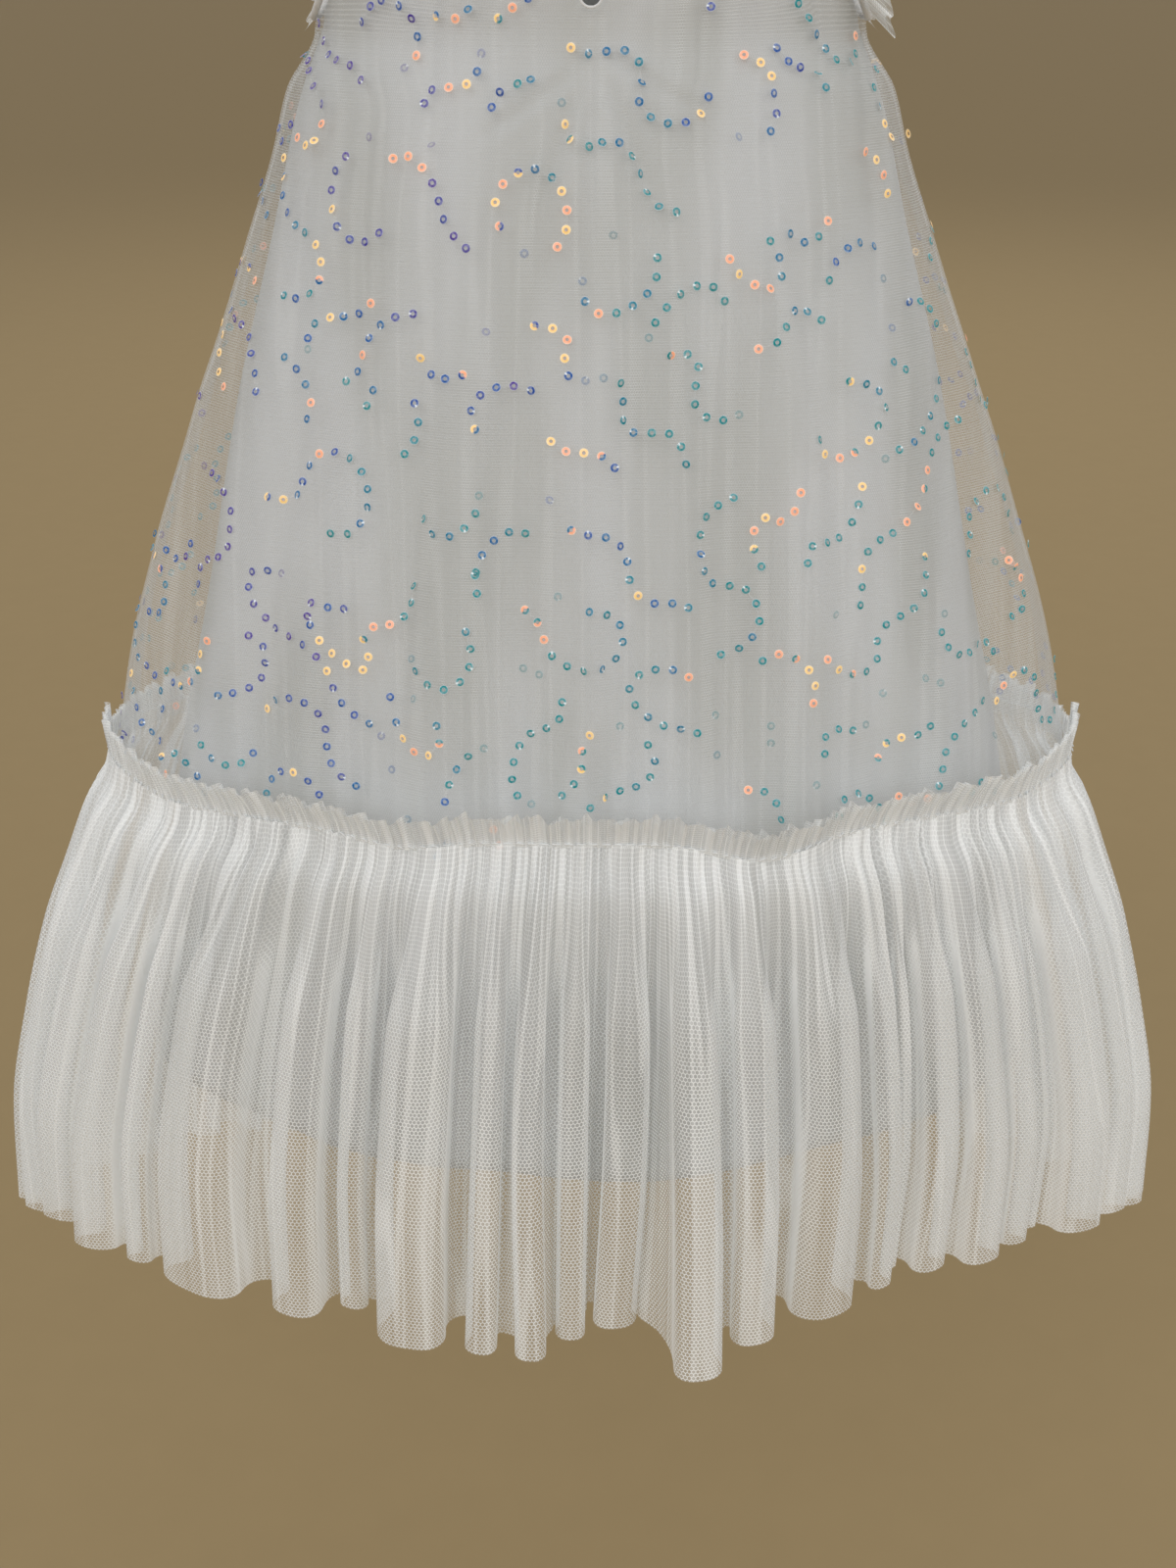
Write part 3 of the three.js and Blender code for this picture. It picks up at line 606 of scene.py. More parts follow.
class Paint:
    """A procedural material under construction."""

    def __init__(self, name):
        self.material = bpy.data.materials.new(name)
        self.material.use_nodes = True
        self.nodes = self.material.node_tree.nodes
        self.links = self.material.node_tree.links
        self.shader = self.nodes["Principled BSDF"]

    def set(self, **values):
        for name, value in values.items():
            self.shader.inputs[name.replace("_", " ")].default_value = value

    def node(self, kind, inputs=(), **settings):
        made = self.nodes.new(kind)
        for name, value in settings.items():
            setattr(made, name, value)
        for socket, value in enumerate(inputs):
            if value is None:
                continue
            if isinstance(value, bpy.types.NodeSocket):
                self.links.new(value, made.inputs[socket])
            else:
                made.inputs[socket].default_value = value
        return made.outputs[0]

    def math(self, operation, *inputs):
        return self.node("ShaderNodeMath", inputs, operation=operation)

    def vector(self, operation, *inputs):
        return self.node("ShaderNodeVectorMath", inputs, operation=operation)

    def cut(self):
        return self.node("ShaderNodeUVMap", uv_map="cut")

    def objects_own(self):
        return self.nodes.new("ShaderNodeTexCoord").outputs["Object"]

    def attribute(self, name, output="Fac"):
        made = self.nodes.new("ShaderNodeAttribute")
        made.attribute_name = name
        return made.outputs[output]

    def scaled(self, vector, x, y, z=1.0):
        return self.vector("MULTIPLY", vector, (x, y, z))

    def noise(self, vector, scale, detail=2.0):
        made = self.nodes.new("ShaderNodeTexNoise")
        self.links.new(vector, made.inputs["Vector"])
        made.inputs["Scale"].default_value = scale
        made.inputs["Detail"].default_value = detail
        return made.outputs["Fac"]

    def remap(self, value, from_low, from_high, low, high, smoothly=False):
        kind = "SMOOTHSTEP" if smoothly else "LINEAR"
        inputs = (value, from_low, from_high, low, high)
        return self.node("ShaderNodeMapRange", inputs, interpolation_type=kind)

    def wave(self, vector, scale, direction):
        inputs = (vector, scale)
        return self.node("ShaderNodeTexWave", inputs, wave_type="BANDS", bands_direction=direction)

    def shares(self, vector):
        """The X, Y and Z of a vector."""
        made = self.nodes.new("ShaderNodeSeparateXYZ")
        self.links.new(vector, made.inputs[0])
        return made.outputs

    def blend(self, share, first, second):
        made = self.nodes.new("ShaderNodeMix")
        made.data_type = "RGBA"
        for socket, value in ((0, share), (6, first), (7, second)):
            if isinstance(value, bpy.types.NodeSocket):
                self.links.new(value, made.inputs[socket])
            else:
                made.inputs[socket].default_value = value
        return made.outputs[2]

    def into(self, name, socket):
        self.links.new(socket, self.shader.inputs[name])

    def bump(self, height, strength, distance):
        made = self.nodes.new("ShaderNodeBump")
        made.inputs["Strength"].default_value = strength
        made.inputs["Distance"].default_value = distance
        self.links.new(height, made.inputs["Height"])
        self.links.new(made.outputs["Normal"], self.shader.inputs["Normal"])

    def hexagons(self, pitch):
        """How far a point is from the middle of its mesh of hexagon net: 0 there, 0.5 on the thread. Two
        staggered rows of oblong cells share the middles out, and the nearer one counts."""
        step = (1.0, math.sqrt(3), 1.0)
        half = tuple(s / 2 for s in step)
        least = tuple(-h for h in half)
        spot = self.scaled(self.cut(), 1 / pitch, MESH_STRETCH / pitch, 0.0)
        first = self.node("ShaderNodeVectorMath", (spot, half, least), operation="WRAP")
        moved = self.vector("ADD", spot, half)
        second = self.node("ShaderNodeVectorMath", (moved, half, least), operation="WRAP")
        lengths = []
        for found in (first, second):
            made = self.nodes.new("ShaderNodeVectorMath")
            made.operation = "LENGTH"
            self.links.new(found, made.inputs[0])
            lengths.append(made.outputs["Value"])
        nearer = self.math("LESS_THAN", *lengths)
        picked = self.nodes.new("ShaderNodeMix")
        picked.data_type = "VECTOR"
        self.links.new(nearer, picked.inputs[0])
        self.links.new(second, picked.inputs[4])
        self.links.new(first, picked.inputs[5])
        x, y, _ = self.shares(self.vector("ABSOLUTE", picked.outputs[1]))
        slant = self.math("ADD", self.math("MULTIPLY", x, 0.5), self.math("MULTIPLY", y, HEXAGON_SLANT))
        return self.math("MAXIMUM", x, slant)


def with_alpha(colour):
    return (*colour[:3], 1.0)


def dimmed(colour, share):
    """The colour at this share of its brightness."""
    return with_alpha([part * share for part in colour])


def net_paint(name, colour, pitch, hole, cover, haze, streaks, folds, painted_glow, crowding=0.0):
    """Hexagon net. hole is the size of its holes in 0 to 0.5 of a mesh, cover is how much its threads hide,
    and haze is how much of a hole its fine side threads fill. streaks is how much the net bunches into
    upright lines and bands, which thicken it and are also painted lighter as painted light. Cloth that turns
    away in a fold has its threads closer together, and by folds it is also painted brighter there as a
    painted highlight, with the rest of the net dimmed as painted shade. The glow setting is painted light: an
    emission in the net's colour that stands in for the light which the layers of a gathered net pass on to
    each other, and crowding is how much of its mesh is lost to sight under the stitches that gather it."""
    paint = Paint(name)
    thread = paint.remap(paint.hexagons(pitch), hole - THREAD_EDGE, hole + THREAD_EDGE, haze, cover, True)
    if crowding:
        _, height, _ = paint.shares(paint.cut())
        crowd = paint.remap(height, CROWDED_FROM, CROWDED_TO, 0.0, crowding, True)
        mean = haze + (cover - haze) * (1 - (hole / 0.5) ** 2)
        clear = paint.math("MULTIPLY", thread, paint.math("SUBTRACT", 1.0, crowd))
        thread = paint.math("ADD", clear, paint.math("MULTIPLY", crowd, mean))
    fine = paint.noise(paint.scaled(paint.cut(), 420.0, 9.0), 1.0, 3.0)
    band = paint.noise(paint.scaled(paint.cut(), 75.0, 5.0), 1.0, 2.0)
    level = paint.noise(paint.scaled(paint.cut(), 95.0, 3.0), 1.0, 1.0)
    line = paint.remap(paint.math("ABSOLUTE", paint.math("SUBTRACT", level, 0.5)), 0.01, 0.05, 1.0, 0.0, True)
    fine_bunch = paint.remap(fine, 0.35, 0.75, -0.25, 0.4)
    wide_bunching_and_painted_light = paint.remap(band, 0.3, 0.7, -0.4, 0.5)
    bunching_and_painted_light = paint.math("ADD", paint.math("ADD", fine_bunch, wide_bunching_and_painted_light), line)
    density = paint.math("ADD", thread, paint.math("MULTIPLY", bunching_and_painted_light, streaks))
    fold = paint.attribute("fold")
    density = paint.math("ADD", density, paint.math("MULTIPLY", fold, folds))
    paint.into("Alpha", paint.node("ShaderNodeClamp", (density, 0.02, 1.0)))
    # Painted highlight and shade: bunching and folds make the colour lighter, and the rest is dimmed to 0.87
    # of it.
    painted_highlight = paint.math("ADD", paint.math("MULTIPLY", bunching_and_painted_light, 2.0 * streaks), fold)
    shade = paint.remap(painted_highlight, -0.3, 0.9, 0.0, 1.0)
    paint.into("Base Color", paint.blend(shade, dimmed(colour, 0.87), with_alpha(colour)))
    paint.set(Roughness=0.78, Specular_IOR_Level=0.25, Sheen_Weight=0.15)
    # Painted light: a weak emission in the net's colour, standing in for light passed on between layers of
    # net.
    paint.set(Emission_Color=with_alpha(colour), Emission_Strength=painted_glow)
    paint.bump(fine, 0.25, 0.0004)
    return paint.material


def lining_paint(colour):
    """Plain woven lining, with slow patches of painted light and shade across it: darker and warmer, or
    lighter and cooler.
    """
    paint = Paint("lining_cloth")
    cut = paint.cut()
    warp = paint.wave(paint.scaled(cut, 1.0, 0.0), LINING_THREADS, "X")
    weft = paint.wave(paint.scaled(cut, 0.0, 1.0), LINING_THREADS, "Y")
    weave = paint.math("MAXIMUM", warp, weft)
    mottle = paint.noise(paint.scaled(cut, 30.0, 18.0), 1.0, 4.0)
    # Painted light and shade: slow patches that dim the lining to about 0.84 and warmer, or lift it to 1.04.
    painted_light_and_shade = paint.noise(paint.scaled(cut, 22.0, 6.0), 1.0, 2.0)
    warm_painted_tone = (colour[0] * 0.84, colour[1] * 0.835, colour[2] * 0.79, 1.0)
    share = paint.remap(painted_light_and_shade, 0.36, 0.64, 0.0, 1.0, True)
    paint.into("Base Color", paint.blend(share, warm_painted_tone, dimmed(colour, 1.04)))
    paint.set(Roughness=0.62, Specular_IOR_Level=0.3, Sheen_Weight=0.1)
    paint.bump(paint.math("ADD", paint.math("MULTIPLY", weave, 0.2), mottle), 0.3, 0.0006)
    return paint.material


def ribbon_paint(colour):
    """Folded cotton binding and rolled edges: a fine diagonal weave."""
    paint = Paint("binding_cloth")
    spot = paint.objects_own()
    twill = paint.wave(spot, 900.0, "DIAGONAL")
    mottle = paint.noise(spot, 260.0, 3.0)
    share = paint.remap(mottle, 0.3, 0.7, 0.0, 1.0)
    paint.into("Base Color", paint.blend(share, dimmed(colour, 0.93), with_alpha(colour)))
    paint.set(Roughness=0.7, Specular_IOR_Level=0.25, Sheen_Weight=0.1)
    paint.bump(paint.math("ADD", paint.math("MULTIPLY", twill, 0.4), mottle), 0.35, 0.0003)
    return paint.material


def pearl_paint(colour):
    """Pearly plastic, clouded a little towards blue."""
    paint = Paint("pearl")
    cloud = paint.noise(paint.objects_own(), 320.0, 3.0)
    paint.into("Base Color", paint.blend(cloud, with_alpha(colour), (0.86, 0.9, 0.93, 1.0)))
    paint.into("Roughness", paint.remap(cloud, 0.3, 0.7, 0.14, 0.26))
    paint.set(Coat_Weight=0.5, Coat_Roughness=0.08, Subsurface_Weight=0.1, Subsurface_Scale=0.002)
    return paint.material


def thread_paint(name, colour, alpha):
    """Twisted thread."""
    paint = Paint(name)
    twist = paint.wave(paint.objects_own(), 2600.0, "DIAGONAL")
    paint.into("Base Color", paint.blend(twist, dimmed(colour, 0.86), with_alpha(colour)))
    paint.set(Roughness=0.5, Alpha=alpha)
    paint.bump(twist, 0.3, 0.0002)
    return paint.material


def sequin_paint():
    """Clear film with a sheen of its own colour, which each sequin carries, and a weak emission of that
    colour as painted light.
    """
    paint = Paint("sequin_film")
    film = paint.attribute("film", "Color")
    grain = paint.remap(paint.noise(paint.objects_own(), 900.0, 2.0), 0.35, 0.7, 0.0, 0.25)
    paint.into("Base Color", paint.blend(grain, film, (0.9, 0.95, 1.0, 1.0)))
    paint.into("Alpha", paint.attribute("film", "Alpha"))
    paint.into("Emission Color", film)
    paint.set(Roughness=0.22, Specular_IOR_Level=0.2, Coat_Weight=0.06, Coat_Roughness=0.05)
    # Painted light: the film emits a little of its own colour.
    paint.set(Emission_Strength=0.2)
    return paint.material


# Each net's emission strength is painted light that lightens its layers, and folds also paint it brighter.
TIER_NET = {"hole": 0.39, "cover": 0.97, "haze": 0.25, "streaks": 0.24, "folds": 0.6, "painted_glow": 0.06}
TIER_NET["crowding"] = 0.75
OVERLAY_NET = {"hole": 0.43, "cover": 0.52, "haze": 0.17, "streaks": 0.06, "folds": 0.6, "painted_glow": 0.0}
FRILL_NET = {"hole": 0.36, "cover": 0.54, "haze": 0.27, "streaks": 0.26, "folds": 0.35, "painted_glow": 0.05}
CLEAR_THREAD = {"colour": (0.9, 0.92, 0.93), "alpha": 0.4}
PAINTS = {}


def paint_of(name, make, *values, **named):
    """The material of this name, made the first time that it is asked for."""
    if name not in PAINTS:
        PAINTS[name] = make(*values, **named)
    return PAINTS[name]


def tier_net(looks):
    return paint_of("tier", net_paint, "tier_net", looks.net_colour, looks.net_mesh, **TIER_NET)


def overlay_net(looks):
    return paint_of("overlay", net_paint, "overlay_net", looks.net_colour, looks.overlay_mesh, **OVERLAY_NET)


def frill_net(looks):
    return paint_of("frill", net_paint, "frill_net", looks.net_colour, looks.overlay_mesh, **FRILL_NET)


def binding_cloth(looks):
    return paint_of("binding", ribbon_paint, looks.binding_colour)


def sewing_thread(looks):
    return paint_of("sewing", thread_paint, "sewing_thread", looks.net_colour, alpha=1.0)


# ---- Settings ----
class DressSizes(bpy.types.PropertyGroup):
    """Sizes of the pieces that this script adds to the solids."""

    sequin_size: bpy.props.FloatProperty(
        name="Sequin", description="Diameter of a sequin", default=0.0034, unit="LENGTH"
    )
    sequin_step: bpy.props.FloatProperty(
        name="Sequin step", description="Distance between sequins on their thread",
        default=0.0062, unit="LENGTH",
    )
    sequin_swirl: bpy.props.FloatProperty(
        name="Swirl", description="Width of one bend of the sequin thread", default=0.024, unit="LENGTH"
    )
    lining_hem: bpy.props.FloatProperty(
        name="Lining hem", description="Depth of the lining's turned hem", default=0.018, unit="LENGTH"
    )
    tier_gather: bpy.props.FloatProperty(
        name="Gather", description="How far the tier's flutes fold back on themselves",
        default=1.75, min=0.8, max=2.1,
    )
    heading_height: bpy.props.FloatProperty(
        name="Heading", description="Height of the frill over the gathering stitches",
        default=0.0125, unit="LENGTH",
    )
    heading_crimps: bpy.props.IntProperty(
        name="Heading crimps", description="Crimps of the frill on each half", default=150
    )
    sleeve_pleats: bpy.props.IntProperty(name="Sleeve pleats", description="Pleats of a sleeve", default=54)
    seam_allowance: bpy.props.FloatProperty(
        name="Seam allowance", description="Width of the overlay's side seam allowance",
        default=0.012, unit="LENGTH",
    )


class DressLooks(bpy.types.PropertyGroup):
    """Colours of the cloth and the film, the sequins' painted highlights, the nets' meshes, and the light."""

    net_colour: bpy.props.FloatVectorProperty(
        name="Net", description="Colour of the net",
        subtype="COLOR", default=(0.925, 0.94, 0.94), min=0, max=1,
    )
    # Painted shade: the lining is white cloth, given this grey for the shade that it lies in under the
    # overlay.
    lining_colour_with_painted_shade: bpy.props.FloatVectorProperty(
        name="Lining", description="Colour of the lining",
        subtype="COLOR", default=(0.6, 0.61, 0.62), min=0, max=1,
    )
    binding_colour: bpy.props.FloatVectorProperty(
        name="Binding", description="Colour of the neck binding and the rolled edges",
        subtype="COLOR", default=(0.8, 0.8, 0.8), min=0, max=1,
    )
    pearl_colour: bpy.props.FloatVectorProperty(
        name="Pearl", description="Colour of the button",
        subtype="COLOR", default=(0.9, 0.87, 0.82), min=0, max=1,
    )
    film_violet: bpy.props.FloatVectorProperty(
        name="Film, violet", description="Sequin colour on the left, seen from outside",
        subtype="COLOR", default=(0.07, 0.03, 0.25), min=0, max=1,
    )
    film_blue: bpy.props.FloatVectorProperty(
        name="Film, blue", description="Sequin colour in the middle",
        subtype="COLOR", default=(0.0, 0.075, 0.31), min=0, max=1,
    )
    film_teal: bpy.props.FloatVectorProperty(
        name="Film, teal", description="Sequin colour on the right and low down",
        subtype="COLOR", default=(0.0, 0.215, 0.235), min=0, max=1,
    )
    # Painted highlights: colours painted on the sequins that are lit, in place of the light that they catch.
    painted_highlight_gold: bpy.props.FloatVectorProperty(
        name="Film, gold", description="Colour of sequins that catch the light",
        subtype="COLOR", default=(1.0, 0.66, 0.24), min=0, max=1,
    )
    painted_highlight_peach: bpy.props.FloatVectorProperty(
        name="Film, peach", description="Second colour of sequins that catch the light",
        subtype="COLOR", default=(1.0, 0.42, 0.24), min=0, max=1,
    )
    net_mesh: bpy.props.FloatProperty(
        name="Net mesh", description="Width of one mesh of the tier's net",
        default=0.0017, unit="LENGTH", precision=5,
    )
    overlay_mesh: bpy.props.FloatProperty(
        name="Overlay mesh", description="Width of one mesh of the overlay's net",
        default=0.0009, unit="LENGTH", precision=5,
    )
    floor_colour: bpy.props.FloatVectorProperty(
        name="Floor", description="Colour of the floor",
        subtype="COLOR", default=(0.32, 0.235, 0.122), min=0, max=1,
    )
    lamp_power: bpy.props.FloatProperty(
        name="Key light", description="Power of the large soft light", default=40.0, unit="POWER"
    )


# ---- Lining and overlay ----
HAIR = 0.25  # half the width between the middle columns under the slit


def slit_half_width(z):
    """Half the width of the neck slit at a height, and a hair's breadth under its bottom."""
    foot = SLIT_BOTTOM_Z + SLIT_ROUND
    top = SHOULDER_Z - NECK_DROP["front"]
    straight = np.interp(z, [foot, (foot + top) / 2, top], [SLIT_ROUND, SLIT_WAIST, SLIT_TOP])
    fall = np.clip((foot - z) / SLIT_ROUND, 0, 1)
    return np.where(z < foot, np.maximum(HAIR, SLIT_ROUND * np.sqrt(1 - fall * fall)), straight)


BACK_MIDDLE = 0.2  # half the width of the back's middle column
COLUMN_EASE = 1.35  # over 1 the columns under the neck are closer together towards the straps
COLUMN_STEP = 0.0025  # the least share between two columns under the neck
ROW_EASE = 1.25  # over 1 the rows over the armpits are closer together towards the shoulders


def half_columns(form, neck_steps, strap_steps):
    """Shares and top heights of a panel's columns from side to side, with the middle one doubled."""
    turns = np.arcsin(1 - (1 - np.linspace(0, 1, neck_steps + 1)) ** COLUMN_EASE)
    tops = SHOULDER_Z - NECK_DROP[form.side] * np.cos(turns)
    shares = form.share_of(NECK_HALF * np.sin(turns), tops)
    shares = np.minimum(shares, shares[-1] - COLUMN_STEP * np.arange(neck_steps, -1, -1))
    strap = shares[-1] + (1 - shares[-1]) * np.arange(1, strap_steps + 1) / strap_steps
    shares = np.concatenate([shares, strap])
    tops = np.concatenate([tops, form.top(strap)])
    return np.concatenate([-shares[::-1], shares]), np.concatenate([tops[::-1], tops])


def panel_grid(side, surface, hem_z, low_rows, high_rows, neck_steps, strap_steps, hem_rise=0.0):
    """Points of a panel from its hem to the neck and shoulders, with its flat coordinates and the cells
    of the slit. Rows run upwards and columns so that the faces look out."""
    form = OVERLAY[side]
    shares, tops = half_columns(form, neck_steps, strap_steps)
    low = np.linspace(0, 1, low_rows)[:-1, None]
    lift = hem_rise * shares * shares
    z_low = (hem_z + lift) * (1 - low) + ARMPIT_Z * low
    part = np.linspace(0, 1, high_rows)[:, None]
    z_high = ARMPIT_Z + (tops - ARMPIT_Z) * (1 - (1 - part) ** ROW_EASE)
    z = np.concatenate([z_low, z_high])
    share = np.broadcast_to(shares, z.shape)
    points = surface(share, z)
    hand = np.where(np.arange(len(shares)) < len(shares) // 2, -1, 1)
    near = np.exp(-((points[..., 0] / SLIT_PUSH) ** 2))
    if side == "back":
        points[..., 0] += hand * BACK_MIDDLE * near
        points = points[:, ::-1]
        return points, cut_of(points), None
    points[..., 0] += hand * slit_half_width(z) * near
    drop = np.zeros(z.shape, bool)
    middle = len(shares) // 2 - 1
    drop[:, middle] = z[:, middle] >= SLIT_BOTTOM_Z - 0.1
    return points, cut_of(points), drop


def outward_of(points):
    """Outward directions of a panel's grid."""
    return unit(np.cross(np.gradient(points, axis=1), np.gradient(points, axis=0)))


class DRESS_OT_lining(bpy.types.Operator):
    """Adds the lining's front and back, with a turned and stitched hem"""

    bl_idname = "dress.lining"
    bl_label = "Lining"

    HEM_PROUD = 0.45  # the turned hem stands out by about a wall
    HEM_STITCH_INSET = 2  # how far under the hem's upper edge its stitches are

    def execute(self, context):
        sizes, looks = context.scene.dress_sizes, context.scene.dress_looks
        coat = paint_of("lining", lining_paint, looks.lining_colour_with_painted_shade)
        hem = sizes.lining_hem / MM
        stitches = []
        for side in SIDES:
            points, cut, drop = panel_grid(side, lining_surface(side), LINING_HEM_Z, hem_rise=LINING_HEM_RISE,
                                           low_rows=72, high_rows=30, neck_steps=30, strap_steps=16)
            height = cut[..., 1] / MM
            outward = outward_of(points)
            turned = smooth(hem + 0.8, hem - 0.8, height) * smooth(0, 1.2, height + 0.6)
            points = points + outward * (self.HEM_PROUD * turned)[..., None]
            bm = bmesh.new()
            add_grid(bm, points, cut, drop=drop)
            piece = finished(f"lining_{side}_cloth", bm, coat, (f"lining_{side}",))
            wall = piece.modifiers.new("cloth", "SOLIDIFY")
            wall.thickness = LINING_WALL * MM
            wall.offset = -1
            row = int(np.argmin(np.abs(height[:, 0] - hem + self.HEM_STITCH_INSET)))
            stitches += stitches_along(points[row], outward[row], pitch=3.2, length=2.3, radius=0.16)
        scattered("lining_hem_stitches", stitch_shape(), stitches, sewing_thread(looks))
        return {"FINISHED"}


ALLOWANCE_STEP = 0.7  # how far the seam allowances lie inside the overlay


def seam_allowances(sizes):
    """The side seam allowances of the overlay, which lie flat inside it."""
    bm = bmesh.new()
    allowance = sizes.seam_allowance / MM
    z = np.linspace(OVERLAY_LOW_Z, ARMPIT_Z - 1, 90)[:, None]
    sample = 0.03  # a small share at the seam, measured to turn the allowance into a share
    for side in SIDES:
        form, surface = OVERLAY[side], overlay_surface(side)
        strip = surface(np.full(z.shape, 1.0), z) - surface(np.full(z.shape, 1 - sample), z)
        inset = sample * allowance / np.maximum(np.linalg.norm(strip, axis=-1), 1)
        for hand in (-1, 1):
            share = hand * (1 - 0.002 - inset * np.linspace(0, 1, 6)[None, :])
            points = surface(share, z + 0 * share)
            points = points - normal_at(surface, form.front, share, z + 0 * share) * ALLOWANCE_STEP
            if hand * form.front < 0:
                points = points[:, ::-1]
            add_grid(bm, points, cut_of(points))
    return bm


class DRESS_OT_overlay(bpy.types.Operator):
    """Adds the net overlay's front and back, its side seam allowances and the rolled slit edge"""

    bl_idname = "dress.overlay"
    bl_label = "Overlay"

    def execute(self, context):
        sizes, looks = context.scene.dress_sizes, context.scene.dress_looks
        coat = overlay_net(looks)
        for side in SIDES:
            points, cut, drop = panel_grid(side, overlay_surface(side), OVERLAY_HEM_Z,
                                           low_rows=110, high_rows=52, neck_steps=70, strap_steps=40)
            bm = bmesh.new()
            add_grid(bm, points, cut, drop=drop)
            piece = finished(f"overlay_{side}_net", bm, coat, (f"overlay_{side}",))
        finished("overlay_seam_allowances", seam_allowances(sizes), coat)
        self.slit_edge(looks)
        return {"FINISHED"}

    def slit_edge(self, looks):
        """A narrow rolled edge down one side of the slit, round its bottom and up the other."""
        surface = overlay_surface("front")
        form = OVERLAY["front"]
        foot = SLIT_BOTTOM_Z + SLIT_ROUND
        heights = np.linspace(SHOULDER_Z - NECK_DROP["front"] - 1, foot, 26)
        arc = np.linspace(0, math.pi, 13)[1:-1]
        half = slit_half_width(heights)
        x = np.concatenate([half, SLIT_ROUND * np.cos(arc), -half[::-1]])
        z = np.concatenate([heights, foot - SLIT_ROUND * np.sin(arc), heights[::-1]])
        share = form.share_of(x, z)
        points = surface(share, z)
        points[:, 0] = x
        bm = bmesh.new()
        add_tube(bm, points - normal_at(surface, form.front, share, z) * 0.4, radius=0.5)
        finished("slit_edge", bm, binding_cloth(looks))


# ---- Tier and heading ----
def stitch_drop(share):
    """How far the row of gathering stitches is off its level."""
    return -bumps(STITCH_DIPS, share)


def flute_path(bend):
    """One flute in plan for each of the given bends: positions across and out, in widths of the flute, and
    the slope of the cloth, at the columns of the flute."""
    fine = 6  # steps of the sum from one column to the next
    broad = 0.3  # over 0 a flute's crest is broader than its valley
    phase = np.linspace(0, 1, FLUTE_COLUMNS * fine + 1)
    eased = phase + broad * np.sin(2 * math.pi * phase) / (2 * math.pi)
    wave = np.sin(2 * math.pi * eased)
    slope = bend[:, None] * np.sign(wave) * np.abs(wave) ** FLUTE_FLATNESS
    step = 1 / (len(phase) - 1)

    def total(values):
        sums = np.cumsum((values[:, 1:] + values[:, :-1]) / 2, axis=1)
        return np.concatenate([np.zeros((len(bend), 1)), sums], axis=1) * step

    across, out = total(np.cos(slope)), total(np.sin(slope))
    length = across[:, -1:]
    out = (out - out.mean(axis=1, keepdims=True)) / length
    return (across / length)[:, ::fine], out[:, ::fine], slope[:, ::fine], 1 / length[:, 0]


def tier_grid(form, gather, seed):
    """Points, flat coordinates and fold shares of one half of the tier, from the hem up.
    The fold shares make the net denser and paint it brighter as a painted highlight.
    """
    flutes = TIER_FLUTES if form.front < 0 else TIER_FLUTES[::-1]
    dice = random.Random(seed)
    wide = np.array([flute[0] for flute in flutes])
    wide = 2 * wide / wide.sum()
    sets = np.array([flute[1] for flute in flutes], dtype=float)
    down = (1 - np.linspace(0, 1, TIER_ROWS)) ** 1.1  # 1 at the hem, 0 at the stitches
    level_z = STITCH_Z + (TIER_HEM_Z - STITCH_Z) * down
    swell = 0.3 + 0.7 * smooth(0, 0.32, down)
    columns, start, cloth = [], -1.0, 0.0
    for share_wide, stand in zip(wide, sets):
        middle = start + share_wide / 2
        turn = middle * math.pi / 2
        across_rate = form.at("half", level_z) * math.cos(turn)
        rate = math.pi / 2 * np.hypot(across_rate, form.at(form.side, level_z) * math.sin(turn))
        width = share_wide * rate
        tighter = 0.3 - width[0] / 150  # narrow flutes fold back further
        bend = np.clip(gather + tighter + dice.uniform(-0.12, 0.12), *FLUTE_BENDS) * swell
        across, out, slope, ratio = flute_path(bend)
        reach = np.ptp(out[0]) * width[0]
        out = out * width[:, None] * min(1, FLUTE_REACH / reach)
        wander = dice.uniform(-2.5, 2.5) * np.sin(down * dice.uniform(2, 4) + dice.uniform(0, 6)) * down
        steepness = np.clip(np.abs(slope) / STEEP, 0, 1) ** 8
        columns.append({
            "share": start + share_wide * across + (wander / rate)[:, None],
            "out": out,
            # Fold share: denser net where it turns edge on and under the stitches, also painted brighter
            # there as a painted highlight.
            "fold": 0.8 * steepness + (0.2 * smooth(0.2, 0, down) - 0.03 * (1 - down))[:, None],
            "stand": np.full(out.shape, stand),
            "drop": np.full(out.shape, dice.uniform(-2, 2)),
            "cloth": cloth + np.linspace(0, 1, FLUTE_COLUMNS + 1)[None, :] * width[0] * ratio[0] + 0 * out,
        })
        start += share_wide
        cloth += width[0] * ratio[0]
    joined = {}
    for name in columns[0]:
        parts = [column[name] for column in columns]
        for left, right in zip(parts, parts[1:]):
            left[:, -1] = right[:, 0] = (left[:, -1] + right[:, 0]) / 2
        joined[name] = np.concatenate([parts[0]] + [part[:, 1:] for part in parts[1:]], axis=1)
    for name in ("stand", "drop"):
        joined[name] = softened(joined[name], FLUTE_SOFTENING)
    joined["down"] = np.broadcast_to(down[:, None], joined["out"].shape)
    return joined, cloth


def softened(values, reach):
    """Values eased along their rows."""
    weights = np.hanning(2 * reach + 3)[1:-1]
    padded = np.pad(values, ((0, 0), (reach, reach)), mode="edge")
    return np.stack([np.convolve(row, weights / weights.sum(), mode="valid") for row in padded])


